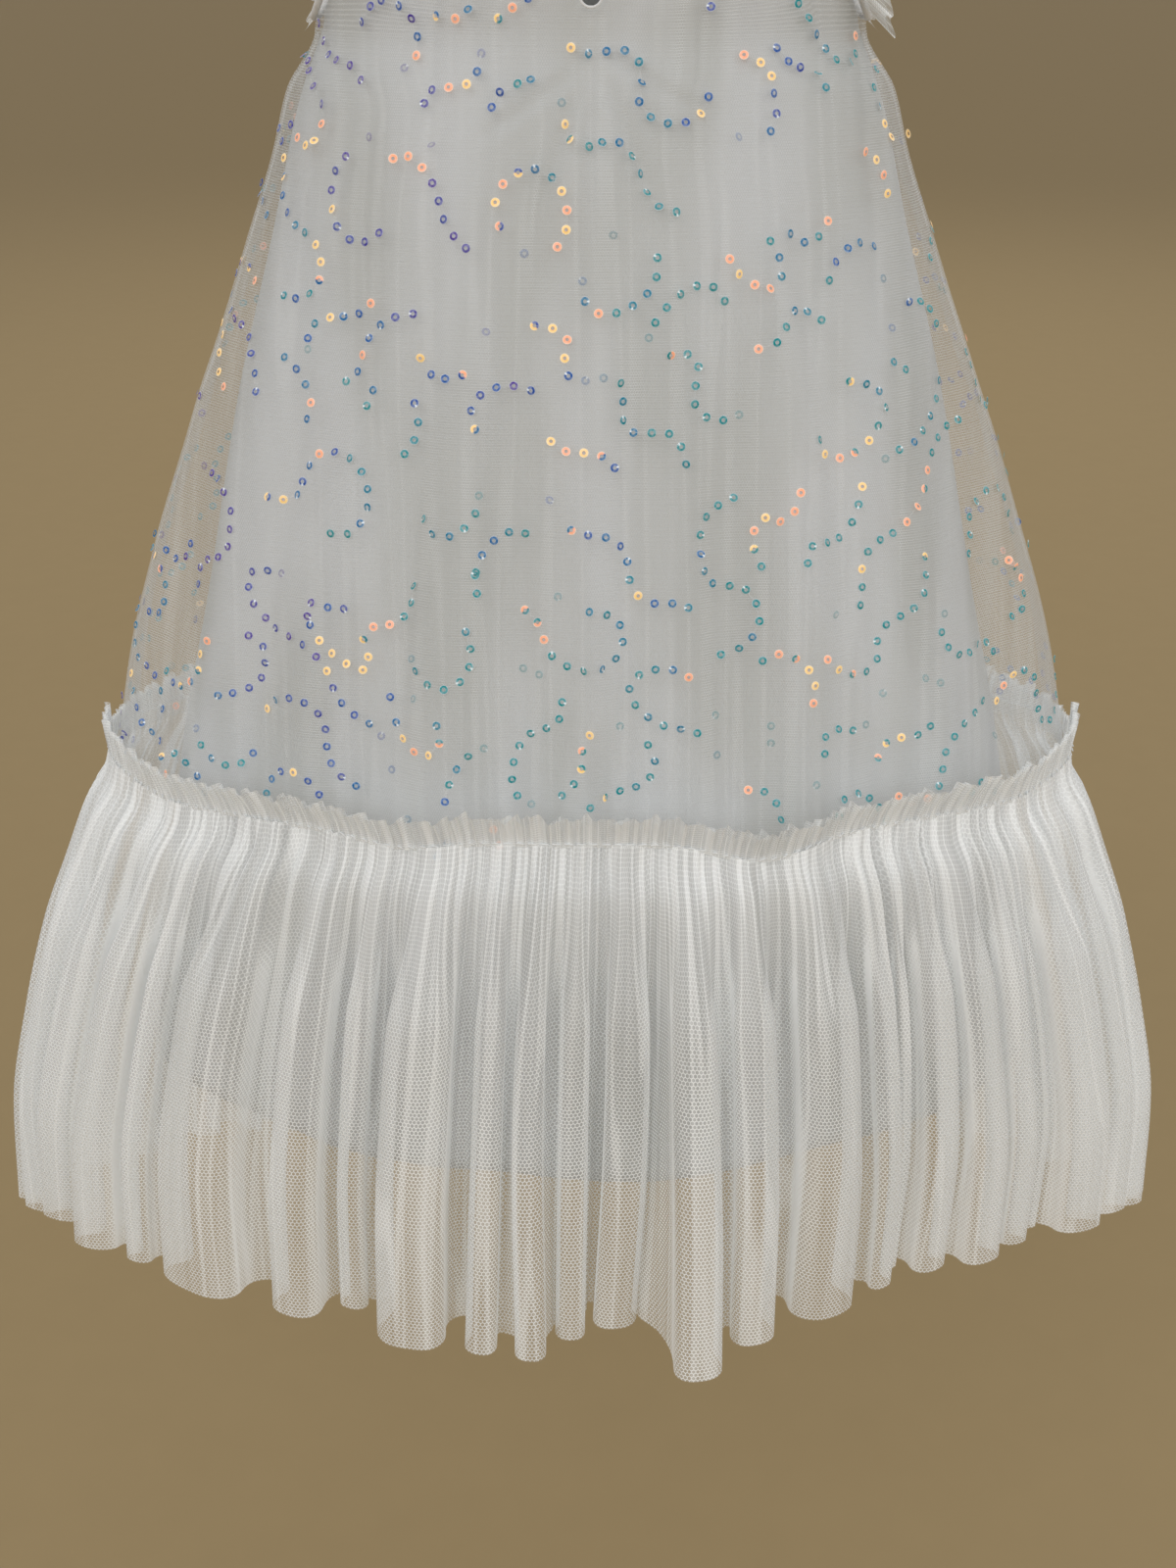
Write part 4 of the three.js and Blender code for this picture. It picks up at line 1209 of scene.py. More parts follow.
def tier_points(form, parts, seed):
    """Turns a half's flutes into points, with fine gathers under the stitches."""
    share, down, cloth = np.clip(parts["share"], -1, 1), parts["down"], parts["cloth"]
    level = 1 - np.abs(share) ** 8  # flutes go flat at the side seams
    fine = ripple(seed, count=5, least=6, most=9, lean=0.0)
    broad = ripple(seed + 1, count=5, least=11, most=24, lean=0.05)
    slow = ripple(seed + 2, count=5, least=14, most=40, lean=0.1)
    depth = down * (STITCH_Z - TIER_HEM_Z)
    gathers = 1.5 * smooth(60, 4, depth) * (1 + fine(cloth, depth)) / 1.6
    gathers = gathers + 2.6 * smooth(0, 14, depth) * smooth(130, 26, depth) * broad(cloth, depth)
    waver = 1.1 * smooth(40, 120, depth) * slow(cloth, depth)
    out = (parts["out"] + parts["stand"] * down + waver) * level + gathers
    z = STITCH_Z + (TIER_HEM_Z - STITCH_Z) * down + stitch_drop(share) * (1 - down) ** 3
    side = HEM_LIFT_SIDE * np.minimum(1, 2 * np.abs(share)) ** 1.5
    lift = down**2 * (side - HEM_LIFT_PER_SET * parts["stand"] * level + parts["drop"])
    points = form.point(share, z, -out)
    points[..., 2] += lift
    points[..., 0] += down**0.7 * (TIER_SPREAD * points[..., 0] - TIER_SWAY)
    return points


class DRESS_OT_tier(bpy.types.Operator):
    """Adds the gathered tier's front and back"""

    bl_idname = "dress.tier"
    bl_label = "Gathered tier"

    def execute(self, context):
        sizes, looks = context.scene.dress_sizes, context.scene.dress_looks
        for side, seed in (("front", 20), ("back", 40)):
            form = TIER[side]
            parts, cloth = tier_grid(form, sizes.tier_gather, seed)
            points = tier_points(form, parts, seed)
            along = end_to_end(points[0]) + 0 * parts["down"]
            cut = np.stack([along, -parts["down"] * (STITCH_Z - TIER_HEM_Z)], axis=-1) * MM
            fold = parts["fold"]
            if form.front > 0:
                points, cut, fold = points[:, ::-1], cut[:, ::-1], fold[:, ::-1]
            bm = bmesh.new()
            add_grid(bm, points, cut, {"fold": fold})
            piece = finished(f"tier_{side}_net", bm, tier_net(looks), (f"tier_{side}",))
        return {"FINISHED"}


class DRESS_OT_heading(bpy.types.Operator):
    """Adds the frill that stands over the gathering stitches, and the stitches"""

    bl_idname = "dress.heading"
    bl_label = "Heading"

    LAYERS = 2
    CLOTH = 1900  # length of a layer's own cloth, for its mesh
    FOOT = 1.5  # how far under the stitches the frill starts
    INSIDE_FLAT = 0.99  # keeps the stated area within the rounded flat size
    STITCH_PROUD = 1.7
    AXIS = np.array([0, -50, 0])  # about the middle of the dress at this height

    def execute(self, context):
        sizes, looks = context.scene.dress_sizes, context.scene.dress_looks
        height = sizes.heading_height / MM
        stitches = []
        for side, seed in (("front", 60), ("back", 80)):
            form = TIER[side]
            bm, area = bmesh.new(), 0
            for layer in range(self.LAYERS):
                points, cut, fold = self.frill(form, height, sizes.heading_crimps, seed + layer, layer)
                add_grid(bm, points, cut, {"fold": fold})
                area += area_of(points)
            piece = finished(f"heading_{side}_net", bm, frill_net(looks), (f"heading_{side}",))
            share = np.linspace(-0.995, 0.995, 500)
            z = STITCH_Z + stitch_drop(share)
            row = form.point(share, z, -self.STITCH_PROUD)
            outward = unit(row * (1, 1, 0) - self.AXIS)
            stitches += stitches_along(row, outward, pitch=4.4, length=3.4, radius=0.3)
        scattered("gathering_stitches", stitch_shape(), stitches, sewing_thread(looks))
        return {"FINISHED"}

    def frill(self, form, height, crimps, seed, layer):
        """Points of one layer of the frill: crimped, leaning out, and raw along its top."""
        columns = crimps * 6
        at = np.linspace(0, 1, columns + 1)[None, :]
        up = np.linspace(0, 1, 8)[:, None]
        x = at * 500
        short = ripple(seed, count=6, least=9, most=30, lean=0)
        long = ripple(seed + 7, count=6, least=14, most=60, lean=0)
        phase = crimps * 2 * math.pi * at + 3.2 * long(x, 0 * x) + 1.2 * short(x, 0 * x + 60) + 1.7 * layer
        strength = (0.4 + 1.2 * up) * (0.7 + 0.7 * short(x, 0 * x))
        crimp = np.sin(phase + 1.5 * up * short(x, 0 * x + 80)) * strength
        share = (2 * at - 1) * 0.998 + 0 * up
        uneven = 0.2 * short(x, 0 * x + 9) + 0.1 * long(x, 0 * x + 23) + 0.08 * np.sin(phase * 0.5)
        tall = height * (1 - 0.16 * layer) * (1 + uneven)
        upright = 1 - 0.9 * smooth(0.45, 0.85, np.abs(share))  # towards the sides it leans out less
        lean = 1.2 + (5.5 * up**1.4 + 1.5 * up * long(x, 0 * x + 40) - 2.2 * layer * up) * upright
        if form.front > 0:
            tall = tall * (1 - 0.5 * smooth(0.5, 1, np.abs(share)))
        z = STITCH_Z + stitch_drop(share)
        points = form.point(share, z, -(lean + crimp * (1 - 0.3 * layer)))
        points[..., 2] = z + up * tall - self.FOOT * (1 - up)
        cloth = self.CLOTH * at + 0 * up
        cut = np.stack([cloth, up * height + 0 * at], axis=-1) * MM
        # The crimps' turns are made denser and painted brighter, as a painted highlight.
        fold = 0.2 * np.abs(np.cos(phase)) ** 3 + 0 * up
        if form.front > 0:
            points, cut, fold = points[:, ::-1], cut[:, ::-1], fold[:, ::-1]
        return points, cut, fold


# ---- Sleeves ----
def armhole_edge(side, share):
    """The armhole's edge from the front underarm, over the shoulder, to the back underarm."""
    up = np.where(share < 0.5, share * 2, (1 - share) * 2)
    points = []
    for form in (OVERLAY["front"], OVERLAY["back"]):
        top = float(form.top(np.array(1.0)))
        z = ARMPIT_Z + 4 + (top - ARMPIT_Z - 4) * np.sin(up * math.pi / 2)
        points.append(form.point(np.ones(z.shape), z))
    points = np.where((share < 0.5)[..., None], points[0], points[1])
    points[..., 0] *= side
    return points


class DRESS_OT_sleeves(bpy.types.Operator):
    """Adds the pleated flutter sleeves and the rolled armhole edges"""

    bl_idname = "dress.sleeves"
    bl_label = "Sleeves"

    LAYERS = 2
    CLOTH = 1100  # length of a layer's own cloth, for its mesh
    UNDERARM_DEPTH = 15
    SHOULDER_DEPTH = 50
    FIRST_SHARE = {1: 0.01, -1: 0.07}  # where the frill of the +X and of the -X sleeve starts
    LAST_SHARE = 0.99
    EDGE_RADIUS = 1.35

    def execute(self, context):
        sizes, looks = context.scene.dress_sizes, context.scene.dress_looks
        edges = bmesh.new()
        for name, side in (("right", 1), ("left", -1)):
            bm, area = bmesh.new(), 0
            for layer in range(self.LAYERS):
                points, cut, fold = self.flutter(side, sizes.sleeve_pleats, layer)
                add_grid(bm, points, cut, {"fold": fold})
                area += area_of(points)
            piece = finished(f"sleeve_{name}_net", bm, frill_net(looks), (f"sleeve_{name}",))
            area = round(area, 3)
            loop = armhole_edge(side, np.linspace(0.0, 1.0, 160))
            loop[:, 0] += side * 0.6
            add_tube(edges, np.concatenate([loop, loop[:1]]), self.EDGE_RADIUS, closed=True)
        finished("armhole_edges", edges, binding_cloth(looks))
        return {"FINISHED"}

    def flutter(self, side, pleats, layer):
        """Points of one layer of a sleeve: pleated, and deepest over the shoulder."""
        columns = pleats * 8
        share = np.linspace(self.FIRST_SHARE[side], self.LAST_SHARE, columns + 1)[None, :]
        down = np.linspace(0, 1, 16)[:, None]
        over = np.sin(share * math.pi)
        ahead = np.cos(share * math.pi)
        growth = (self.SHOULDER_DEPTH - self.UNDERARM_DEPTH) * over**1.2
        depth = (self.UNDERARM_DEPTH + growth) * (1 - 0.14 * layer)
        away = unit(xyz(side * 0.86, -0.5 * ahead, 0.3 * over - 0.85 * (1 - over) ** 2))
        across = unit(xyz(-side * 0.3, -ahead * 0.5, 0.2 + over))
        x = share * 300
        drift = ripple(100 + layer + (side > 0) * 3, count=5, least=12, most=40, lean=0)
        phase = pleats * 2 * math.pi * share + 1.2 * drift(x, 0 * x) + layer
        pleat = np.sin(phase) * (0.5 + 2.3 * down) * (0.8 + 0.4 * drift(x, 0 * x + 30))
        root = armhole_edge(side, share)
        droop = 0.55 * depth * over * down * down
        points = root + away * (0.6 + depth * down)[..., None] + across * (pleat + 1.2 * layer)[..., None]
        points[..., 2] -= droop
        cloth = self.CLOTH * share + 0 * down
        cut = np.stack([cloth, depth * down], axis=-1) * MM
        # The pleats' turns are made denser and painted brighter, as a painted highlight, more towards the
        # sleeve's edge.
        fold = 0.6 * np.abs(np.cos(phase)) ** 3 * (0.4 + 0.6 * down)
        if side < 0:
            points, cut, fold = points[:, ::-1], cut[:, ::-1], fold[:, ::-1]
        return points, cut, fold


# ---- Neck ----
def neck_point(turn, inward, out):
    """A point of the neck: turn runs right round from the front's middle, inward goes from the cloth's edge
    towards the opening, and out is the distance off the overlay."""
    x = (NECK_HALF - inward) * np.sin(turn)
    points = []
    for form in (OVERLAY["front"], OVERLAY["back"]):
        z = SHOULDER_Z - (NECK_DROP[form.side] - inward) * np.abs(np.cos(turn))
        share = form.share_of(x, z)
        spot = form.point(share, z)
        flat = (shoulder_line(spot[..., 0]) - z < 1)[..., None]
        normal = np.where(flat, np.array([0, 0, 1.0]), normal_at(form.point, form.front, share, z))
        points.append(spot + normal * np.asarray(out)[..., None])
    return np.where((np.cos(turn) > 0)[..., None], points[0], points[1])


BINDING_MIDDLE = -1.7  # the binding's middle lies this far inside the overlay
BINDING_HALF_THICK = 2.35
BINDING_SQUARENESS = 0.62  # 1 is round, and towards 0 it is square


def binding_section(corners):
    """A rounded oblong round the neck's edge: distances inward and out."""
    turns = np.linspace(0, 2 * math.pi, corners + 1)

    def swollen(value):
        return np.sign(value) * np.abs(value) ** BINDING_SQUARENESS

    inward = BINDING_GAP + BINDING_WIDTH / 2 + BINDING_WIDTH / 2 * swollen(np.cos(turns))
    return inward, BINDING_MIDDLE + BINDING_HALF_THICK * swollen(np.sin(turns))


# The button's outline from the middle of its foot to the middle of its face: radius and height.
BUTTON_PROFILE = (
    (0, 0),
    (1.5, 0),
    (1.4, 2.1),
    (3.4, 2.25),
    (4.2, 2.7),
    (4.6, 3.3),
    (4.35, 4.0),
    (3.3, 4.65),
    (1.8, 4.98),
    (0, 5.1),
)
BUTTON_ASIDE = 4.4  # from the slit's edge to the button's middle
LOOP_RADIUS = 2.9
LOOP_PAST_SLIT = 1  # how far past the slit's other edge the loop is sewn down
LOOP_TWIST = 5.5  # turn of its strands from one knot to the next, in radians
STRAND_ASIDE = 0.33
STRAND_RADIUS = 0.38


class DRESS_OT_neck(bpy.types.Operator):
    """Adds the neck binding with its stitches, the pearl button and the thread loop"""

    bl_idname = "dress.neck"
    bl_label = "Neck"

    PUCKER = 0.12
    PUCKERS = 96  # right round the neck
    STITCH_INSET = 1.7  # from the binding's outer edge

    def execute(self, context):
        looks = context.scene.dress_looks
        start = math.asin(SLIT_TOP / NECK_HALF)
        turns = np.linspace(start, 2 * math.pi - start, 220)[:, None]
        inward, out = binding_section(18)
        pucker = self.PUCKER * np.sin(turns * self.PUCKERS) * (out > 0)
        bm = bmesh.new()
        made = add_grid(bm, neck_point(turns + 0 * inward, inward + 0 * turns, out + pucker))
        bmesh.ops.remove_doubles(bm, verts=made, dist=1e-6)
        ends = [edge for edge in bm.edges if edge.is_boundary]
        bmesh.ops.holes_fill(bm, edges=ends, sides=40)
        bmesh.ops.recalc_face_normals(bm, faces=bm.faces)
        piece = finished("neck_binding_cloth", bm, binding_cloth(looks), ("neck_binding",))
        line = np.linspace(start + 0.03, 2 * math.pi - start - 0.03, 420)
        inset = np.full(line.shape, self.STITCH_INSET)
        row = neck_point(line, inset, np.full(line.shape, 0.62))
        outward = row - neck_point(line, inset, np.full(line.shape, -0.4))
        stitches = stitches_along(row, unit(outward), pitch=3.0, length=2.1, radius=0.15)
        scattered("binding_stitches", stitch_shape(), stitches, sewing_thread(looks))
        self.loop(looks, self.button(looks))
        return {"FINISHED"}

    def button(self, looks):
        """Turns the button on its foot, and gives its centre."""
        low, high = (np.array(corner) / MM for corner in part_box("neck_button"))
        centre = (low + high) / 2
        widest, tallest = np.max(BUTTON_PROFILE, axis=0)
        wide = (high[0] - low[0]) / 2 * MM
        thick = (high[1] - low[1]) * MM
        bm = bmesh.new()
        verts = [bm.verts.new((r / widest * wide, -h / tallest * thick, 0)) for r, h in BUTTON_PROFILE]
        edges = [bm.edges.new(pair) for pair in zip(verts, verts[1:])]
        turn = {"cent": (0, 0, 0), "axis": (0, 1, 0), "angle": 2 * math.pi, "steps": 40}
        bmesh.ops.spin(bm, geom=verts + edges, use_merge=True, **turn)
        bmesh.ops.remove_doubles(bm, verts=bm.verts, dist=1e-6)
        bmesh.ops.recalc_face_normals(bm, faces=bm.faces)
        bmesh.ops.translate(bm, vec=Vector((centre[0], high[1], centre[2])) * MM, verts=bm.verts)
        coat = paint_of("pearl", pearl_paint, looks.pearl_colour)
        finished("pearl_button", bm, coat, ("neck_button",))
        return centre

    def loop(self, looks, centre):
        """Lays a loop of two twisted strands round the button's foot, with its ends across the slit."""
        ring = LOOP_RADIUS
        reach = SLIT_TOP + BUTTON_ASIDE + LOOP_PAST_SLIT + SLIT_TOP
        ends = [(reach + 3, 1.4), (reach, 1.3)]
        upper = ends + [(ring * 0.9, ring * 0.95), (0, ring), (-ring * 0.9, ring * 0.55)]
        knots = np.array(upper + [(x, -z) for x, z in reversed(upper)])
        at = np.linspace(0, len(knots) - 1, 70)
        turn = [np.interp(at, np.arange(len(knots)), knots[:, axis]) for axis in (0, 1)]
        soft = [np.convolve(np.pad(t, 4, mode="edge"), np.ones(9) / 9, mode="valid") for t in turn]
        low, high = (np.array(corner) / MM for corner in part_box("button_loop"))
        path = xyz(centre[0] + soft[0], (low[1] + high[1]) / 2, centre[2] + soft[1])
        bm = bmesh.new()
        for strand in (0, math.pi):
            twist = at * LOOP_TWIST + strand
            wound = path + STRAND_ASIDE * xyz(0 * at, np.cos(twist), np.sin(twist))
            add_tube(bm, wound, STRAND_RADIUS, sides=6)
        coat = paint_of("loop", thread_paint, "loop_thread", looks.net_colour, alpha=1.0)
        finished("thread_loop", bm, coat, ("button_loop",))


# ---- Sequins ----
class Sheet:
    """Flat places on one half of the overlay: turns a distance from the middle and a height into a share."""

    ROW_STEP = 4
    ROWS = 104
    SEAM_MARGIN = 4  # bare cloth at the side seams, at the neck and shoulders, and round the slit
    NECK_MARGIN = 7
    SLIT_MARGIN = 6

    def __init__(self, side):
        self.surface = overlay_surface(side)
        self.form = OVERLAY[side]
        self.heights = OVERLAY_LOW_Z + self.ROW_STEP * np.arange(self.ROWS, dtype=float)
        self.shares = np.linspace(-1, 1, 161)
        points = self.surface(*np.meshgrid(self.shares, self.heights))
        steps = np.linalg.norm(np.diff(points[..., :2], axis=1), axis=-1)
        reach = np.pad(np.cumsum(steps, axis=1), ((0, 0), (1, 0)))
        self.reach = reach - reach[:, len(self.shares) // 2, None]

    def shares_at(self, x, z):
        """The shares at these distances from the middle, and which of the places lie on the cloth."""
        rows = np.clip(np.round((z - self.heights[0]) / self.ROW_STEP), 0, self.ROWS - 1).astype(int)
        share = np.array([np.interp(at, self.reach[row], self.shares) for at, row in zip(x, rows)])
        within = x > self.reach[rows, 0] + self.SEAM_MARGIN
        within &= x < self.reach[rows, -1] - self.SEAM_MARGIN
        inner = np.sqrt(np.maximum(0, 1 - (x / NECK_HALF) ** 2))
        neck = np.where(np.abs(x) < NECK_HALF, SHOULDER_Z - NECK_DROP[self.form.side] * inner, SHOULDER_Z)
        within &= z < np.minimum(self.form.top(share), neck) - self.NECK_MARGIN
        if self.form.front < 0:
            within &= ~((np.abs(x) < self.SLIT_MARGIN) & (z > SLIT_BOTTOM_Z - 4))
        return share, within


ARC_STEPS = 6


def arc_key(a, b):
    """Names the arc between two places, whichever way it is followed."""
    return tuple(sorted((a, b)))


def warped(run):
    """Pushes flat places about in slow waves, so that threads don't show the cells they were laid in."""
    x, z = run[:, 0], run[:, 1]
    warp_x = 5.5 * np.sin(z / 31 + 1.3) + 3.5 * np.sin(z / 13 + x / 47) + 3 * np.sin(x / 21)
    warp_z = 5.5 * np.sin(x / 29 + 0.4) + 3.5 * np.sin(x / 15 + z / 53 + 2) + 3 * np.sin(z / 18)
    return np.stack([x + warp_x, z + warp_z], axis=1)


def thread_runs(dice, cell, width, height, step):
    """Winding threads: quarter arcs laid in square cells, each turned one way or the other, and followed
    from cell to cell. Gives lists of flat places a step apart."""
    across, up = int(width / cell) + 2, int(height / cell) + 2
    ways = {(i, j): dice.random() < 0.5 for i in range(across) for j in range(up)}
    links = {}
    for (i, j), way in ways.items():
        # Edge midpoints and corners of a cell, in half cells.
        left, right, foot, head = 2 * i, 2 * i + 2, 2 * j, 2 * j + 2
        west, east = (left, foot + 1), (right, foot + 1)
        south, north = (left + 1, foot), (left + 1, head)
        if way:
            pairs = ((west, south, (left, foot)), (east, north, (right, head)))
        else:
            pairs = ((west, north, (left, head)), (east, south, (right, foot)))
        for a, b, hub in pairs:
            links.setdefault(a, []).append((b, hub))
            links.setdefault(b, []).append((a, hub))
    used, runs = set(), []
    for start in sorted(links, key=lambda spot: (len(links[spot]), spot)):
        for first in links[start]:
            if arc_key(start, first[0]) in used:
                continue
            run, here, onward = [start], start, first
            while onward:
                there, hub = onward
                used.add(arc_key(here, there))
                begin = math.atan2(here[1] - hub[1], here[0] - hub[0])
                sweep = math.atan2(there[1] - hub[1], there[0] - hub[0]) - begin
                sweep = (sweep + math.pi) % (2 * math.pi) - math.pi
                for k in range(1, ARC_STEPS + 1):
                    turn = begin + sweep * k / ARC_STEPS
                    run.append((hub[0] + math.cos(turn), hub[1] + math.sin(turn)))
                here = there
                onward = next((link for link in links[here] if arc_key(here, link[0]) not in used), None)
            runs.append(np.array(run) * cell / 2 - (width / 2, 0))
    placed = []
    for run in map(warped, runs):
        at = end_to_end(run)
        stops = np.arange(dice.uniform(0, step), at[-1], step)
        placed.append(np.stack([np.interp(stops, at, run[:, axis]) for axis in (0, 1)], axis=1))
    return placed


SEQUIN_SIDES = 12
# Rings of a sequin from its hole to its rim: radius, how much of the film's colour shows, and its cover.
SEQUIN_RINGS = table(
    "radius film cover",
    (0.38, 0.6, 0.7),
    (0.45, 1.0, 1.0),
    (0.86, 1.0, 1.0),
    (0.93, 0.3, 0.5),
    (1.0, 0.0, 0.3),
)
SEQUIN_CUP = 0.12  # how deep a sequin's rim lies under its middle, as a share of its radius
PALE_FILM = np.array([0.8, 0.84, 0.88])
# Painted highlights of a lit sequin, in place of the light that it catches: its rim, its middle, and a white
# spark.
PAINTED_HIGHLIGHT_RIM = np.array([1.0, 0.86, 0.68])
PAINTED_HIGHLIGHT_HEART = np.array([1.0, 0.3, 0.12])
PAINTED_SPARK = np.array([0.85, 0.9, 0.92])


def sequin_shape(radius):
    """A shallow cup with a hole, its rings grown outwards one from the other."""
    bm = bmesh.new()
    sizes = SEQUIN_RINGS["radius"]
    bmesh.ops.create_circle(bm, segments=SEQUIN_SIDES, radius=radius * sizes[0])
    edges = list(bm.edges)
    for size in sizes[1:]:
        ring, edges = grown(bm, edges)
        for vert in ring:
            vert.co = Vector((vert.co.x, vert.co.y, 0)).normalized() * radius * size
            vert.co.z = -SEQUIN_CUP * radius * size * size
    bmesh.ops.recalc_face_normals(bm, faces=bm.faces)
    if sum(face.normal.z for face in bm.faces) < 0:
        bmesh.ops.reverse_faces(bm, faces=bm.faces)
    return shape_of(bm)


class DRESS_OT_sequins(bpy.types.Operator):
    """Adds the sequins of the overlay, strung on a fine clear thread"""

    bl_idname = "dress.sequins"
    bl_label = "Sequins"

    FIELD = (620, 420)  # width and height of the flat field that the threads are laid in
    STRAND_LIFT = 0.4  # off the net
    STRAND_WIDTH = 0.0002  # in metres
    SEQUINNED = (4, 5, 6, 7, 8, 9, 10, 12, 14)  # lengths of a stretch, in steps
    BARE = (2, 3, 4, 5, 7, 9)
    # Runs of sequins painted as lit, with painted highlights: their lengths and odds, the odds of a half-lit
    # one, and of a painted spark.
    LIT = (1, 1, 2, 3, 4, 5)
    LIT_ODDS = 0.13
    FAINT_ODDS = 0.12
    FAINT_COVER = 0.35
    HALF_LIT_ODDS = 0.3
    PAINTED_SPARK_ODDS = 0.45
    FILM_PLACES = (0.05, 0.42, 0.72)  # where violet, blue and teal are, on the way from left to right
    MOST_TILT = 0.75

    def execute(self, context):
        sizes, looks = context.scene.dress_sizes, context.scene.dress_looks
        film = paint_of("sequin", sequin_paint)
        clear = paint_of("clear", thread_paint, "clear_thread", **CLEAR_THREAD)
        shape = sequin_shape(sizes.sequin_size / 2)
        bm = bmesh.new()
        bmesh.ops.create_grid(bm, x_segments=1, y_segments=1, size=0.5)
        ribbon = shape_of(bm)
        for side, seed in (("front", 11), ("back", 12)):
            dice, sheet = random.Random(seed), Sheet(side)
            picked = self.picked(dice, sheet, sizes)
            points = sheet.surface(picked["share"], picked["z"])
            normals = normal_at(sheet.surface, sheet.form.front, picked["share"], picked["z"])
            picked["x"] = picked["x"] * -sheet.form.front
            spread = np.random.default_rng(seed)
            frames = self.frames(spread, points, normals, sizes.sequin_size / 2)
            colours = self.colours(spread, picked, shape, looks)
            scattered(f"sequins_{side}", shape, frames, film, colours)
            strands = []
            for k in np.flatnonzero(picked["strung"][1:]) + 1:
                way = points[k] - points[k - 1]
                middle = (points[k] + points[k - 1]) / 2 + normals[k] * self.STRAND_LIFT
                size = (np.linalg.norm(way) * MM, self.STRAND_WIDTH, 1)
                strands.append(frame_at(middle, normals[k], way, size))
            scattered(f"sequin_thread_{side}", ribbon, strands, clear)
        return {"FINISHED"}

    def picked(self, dice, sheet, sizes):
        """Places along every thread: stretches of sequins, and bare stretches between them."""
        chosen = []
        for run in thread_runs(dice, sizes.sequin_swirl / MM, *self.FIELD, sizes.sequin_step / MM):
            x, z = run[:, 0], run[:, 1] + sheet.heights[0]
            shares, within = sheet.shares_at(x, z)
            left = dice.randrange(8)
            showing = dice.random() < 0.5
            lit_left, strung = 0, False
            for spot in zip(x, z, shares, within):
                if left <= 0:
                    showing = not showing
                    left = dice.choice(self.SEQUINNED if showing else self.BARE)
                left -= 1
                faint = not showing and dice.random() < self.FAINT_ODDS
                if lit_left <= 0 and dice.random() < self.LIT_ODDS:
                    lit_left = dice.choice(self.LIT)
                lit_left -= 1
                if not spot[3] or not (showing or faint):
                    strung = False
                    continue
                chosen.append((*spot[:3], lit_left >= 0 and not faint, faint, strung and not faint))
                strung = not faint
        columns = np.array(chosen, dtype=float).T
        return dict(zip(("x", "z", "share", "lit", "faint", "strung"), columns))

    def frames(self, spread, points, normals, radius):
        """Each sequin's frame: tilted at random on its thread, and clear of the net."""
        count = len(points)
        tilt = np.minimum(self.MOST_TILT, np.abs(spread.normal(0, 0.26, count)))
        spin, roll = spread.uniform(0, 2 * math.pi, (2, count))
        side = unit(np.cross(normals, (0.02, 0.03, 1.0)))
        up = np.cross(side, normals)
        lean = np.cos(spin)[:, None] * side + np.sin(spin)[:, None] * up
        facing = unit(normals + np.tan(tilt)[:, None] * lean)
        way = np.cos(roll)[:, None] * side + np.sin(roll)[:, None] * up
        spots = points + normals * (0.5 + radius / MM * np.sin(tilt))[:, None]
        return [frame_at(*each) for each in zip(spots, facing, way)]

    def colours(self, spread, picked, shape, looks):
        """Colour and cover at every vertex of every sequin: violet on the left, blue in the middle, teal on
        the right and low down, and painted gold or peach highlights, with painted white sparks, where the
        film would catch the light."""
        rings = SEQUIN_RINGS["radius"]
        count = len(picked["x"])
        x, z = picked["x"], picked["z"]
        flat = shape[0][:, :2]
        size = np.linalg.norm(flat, axis=1)
        size = size / size.max()
        angle = np.arctan2(flat[:, 1], flat[:, 0])
        place = 0.58 + x / 380 - (z + 240) / 620
        place = place + spread.normal(0, 0.12, count) + 0.25 * np.sin(x / 24 + z / 37)
        films = np.array([looks.film_violet, looks.film_blue, looks.film_teal])
        base = np.stack([np.interp(place, self.FILM_PLACES, films[:, k]) for k in range(3)], axis=1)
        # Painted highlights: lit sequins are painted gold or peach, some only on one half, and some unlit
        # ones get a painted white spark.
        golden = spread.random(count) < 0.5 - x * 0.0012
        painted_glow = np.where(golden[:, None], np.array(looks.painted_highlight_gold), np.array(looks.painted_highlight_peach))
        glint = spread.uniform(-math.pi, math.pi, count)
        lit = picked["lit"] > 0
        half = lit & (spread.random(count) < self.HALF_LIT_ODDS)
        facing = np.cos(angle[None, :] - glint[:, None])
        painted_highlight = (lit[:, None] & (~half[:, None] | (facing > 0)))[..., None]
        share = np.interp(size, rings, SEQUIN_RINGS["film"])[None, :, None]
        cover = np.interp(size, rings, SEQUIN_RINGS["cover"])[None, :]
        dark = base[:, None, :] * share + PALE_FILM * (1 - share)
        painted_spark = (spread.random(count) < self.PAINTED_SPARK_ODDS)[:, None] & (facing > 0.98)
        dark = np.where(painted_spark[..., None], PAINTED_SPARK, dark)
        warm_painted_tone = np.where((size < 0.88)[None, :, None], painted_glow[:, None, :], PAINTED_HIGHLIGHT_RIM)
        warm_painted_tone = np.where((size < 0.42)[None, :, None], PAINTED_HIGHLIGHT_HEART, warm_painted_tone)
        colour = np.where(painted_highlight, warm_painted_tone, dark)
        painted_highlight_cover = np.where(size < 0.9, 1.0, 0.6)[None, :]
        faded = np.where(picked["faint"] > 0, self.FAINT_COVER, 1.0)[:, None]
        alpha = np.where(painted_highlight[..., 0], painted_highlight_cover, cover * faded)
        return np.concatenate([colour, alpha[..., None]], axis=-1)


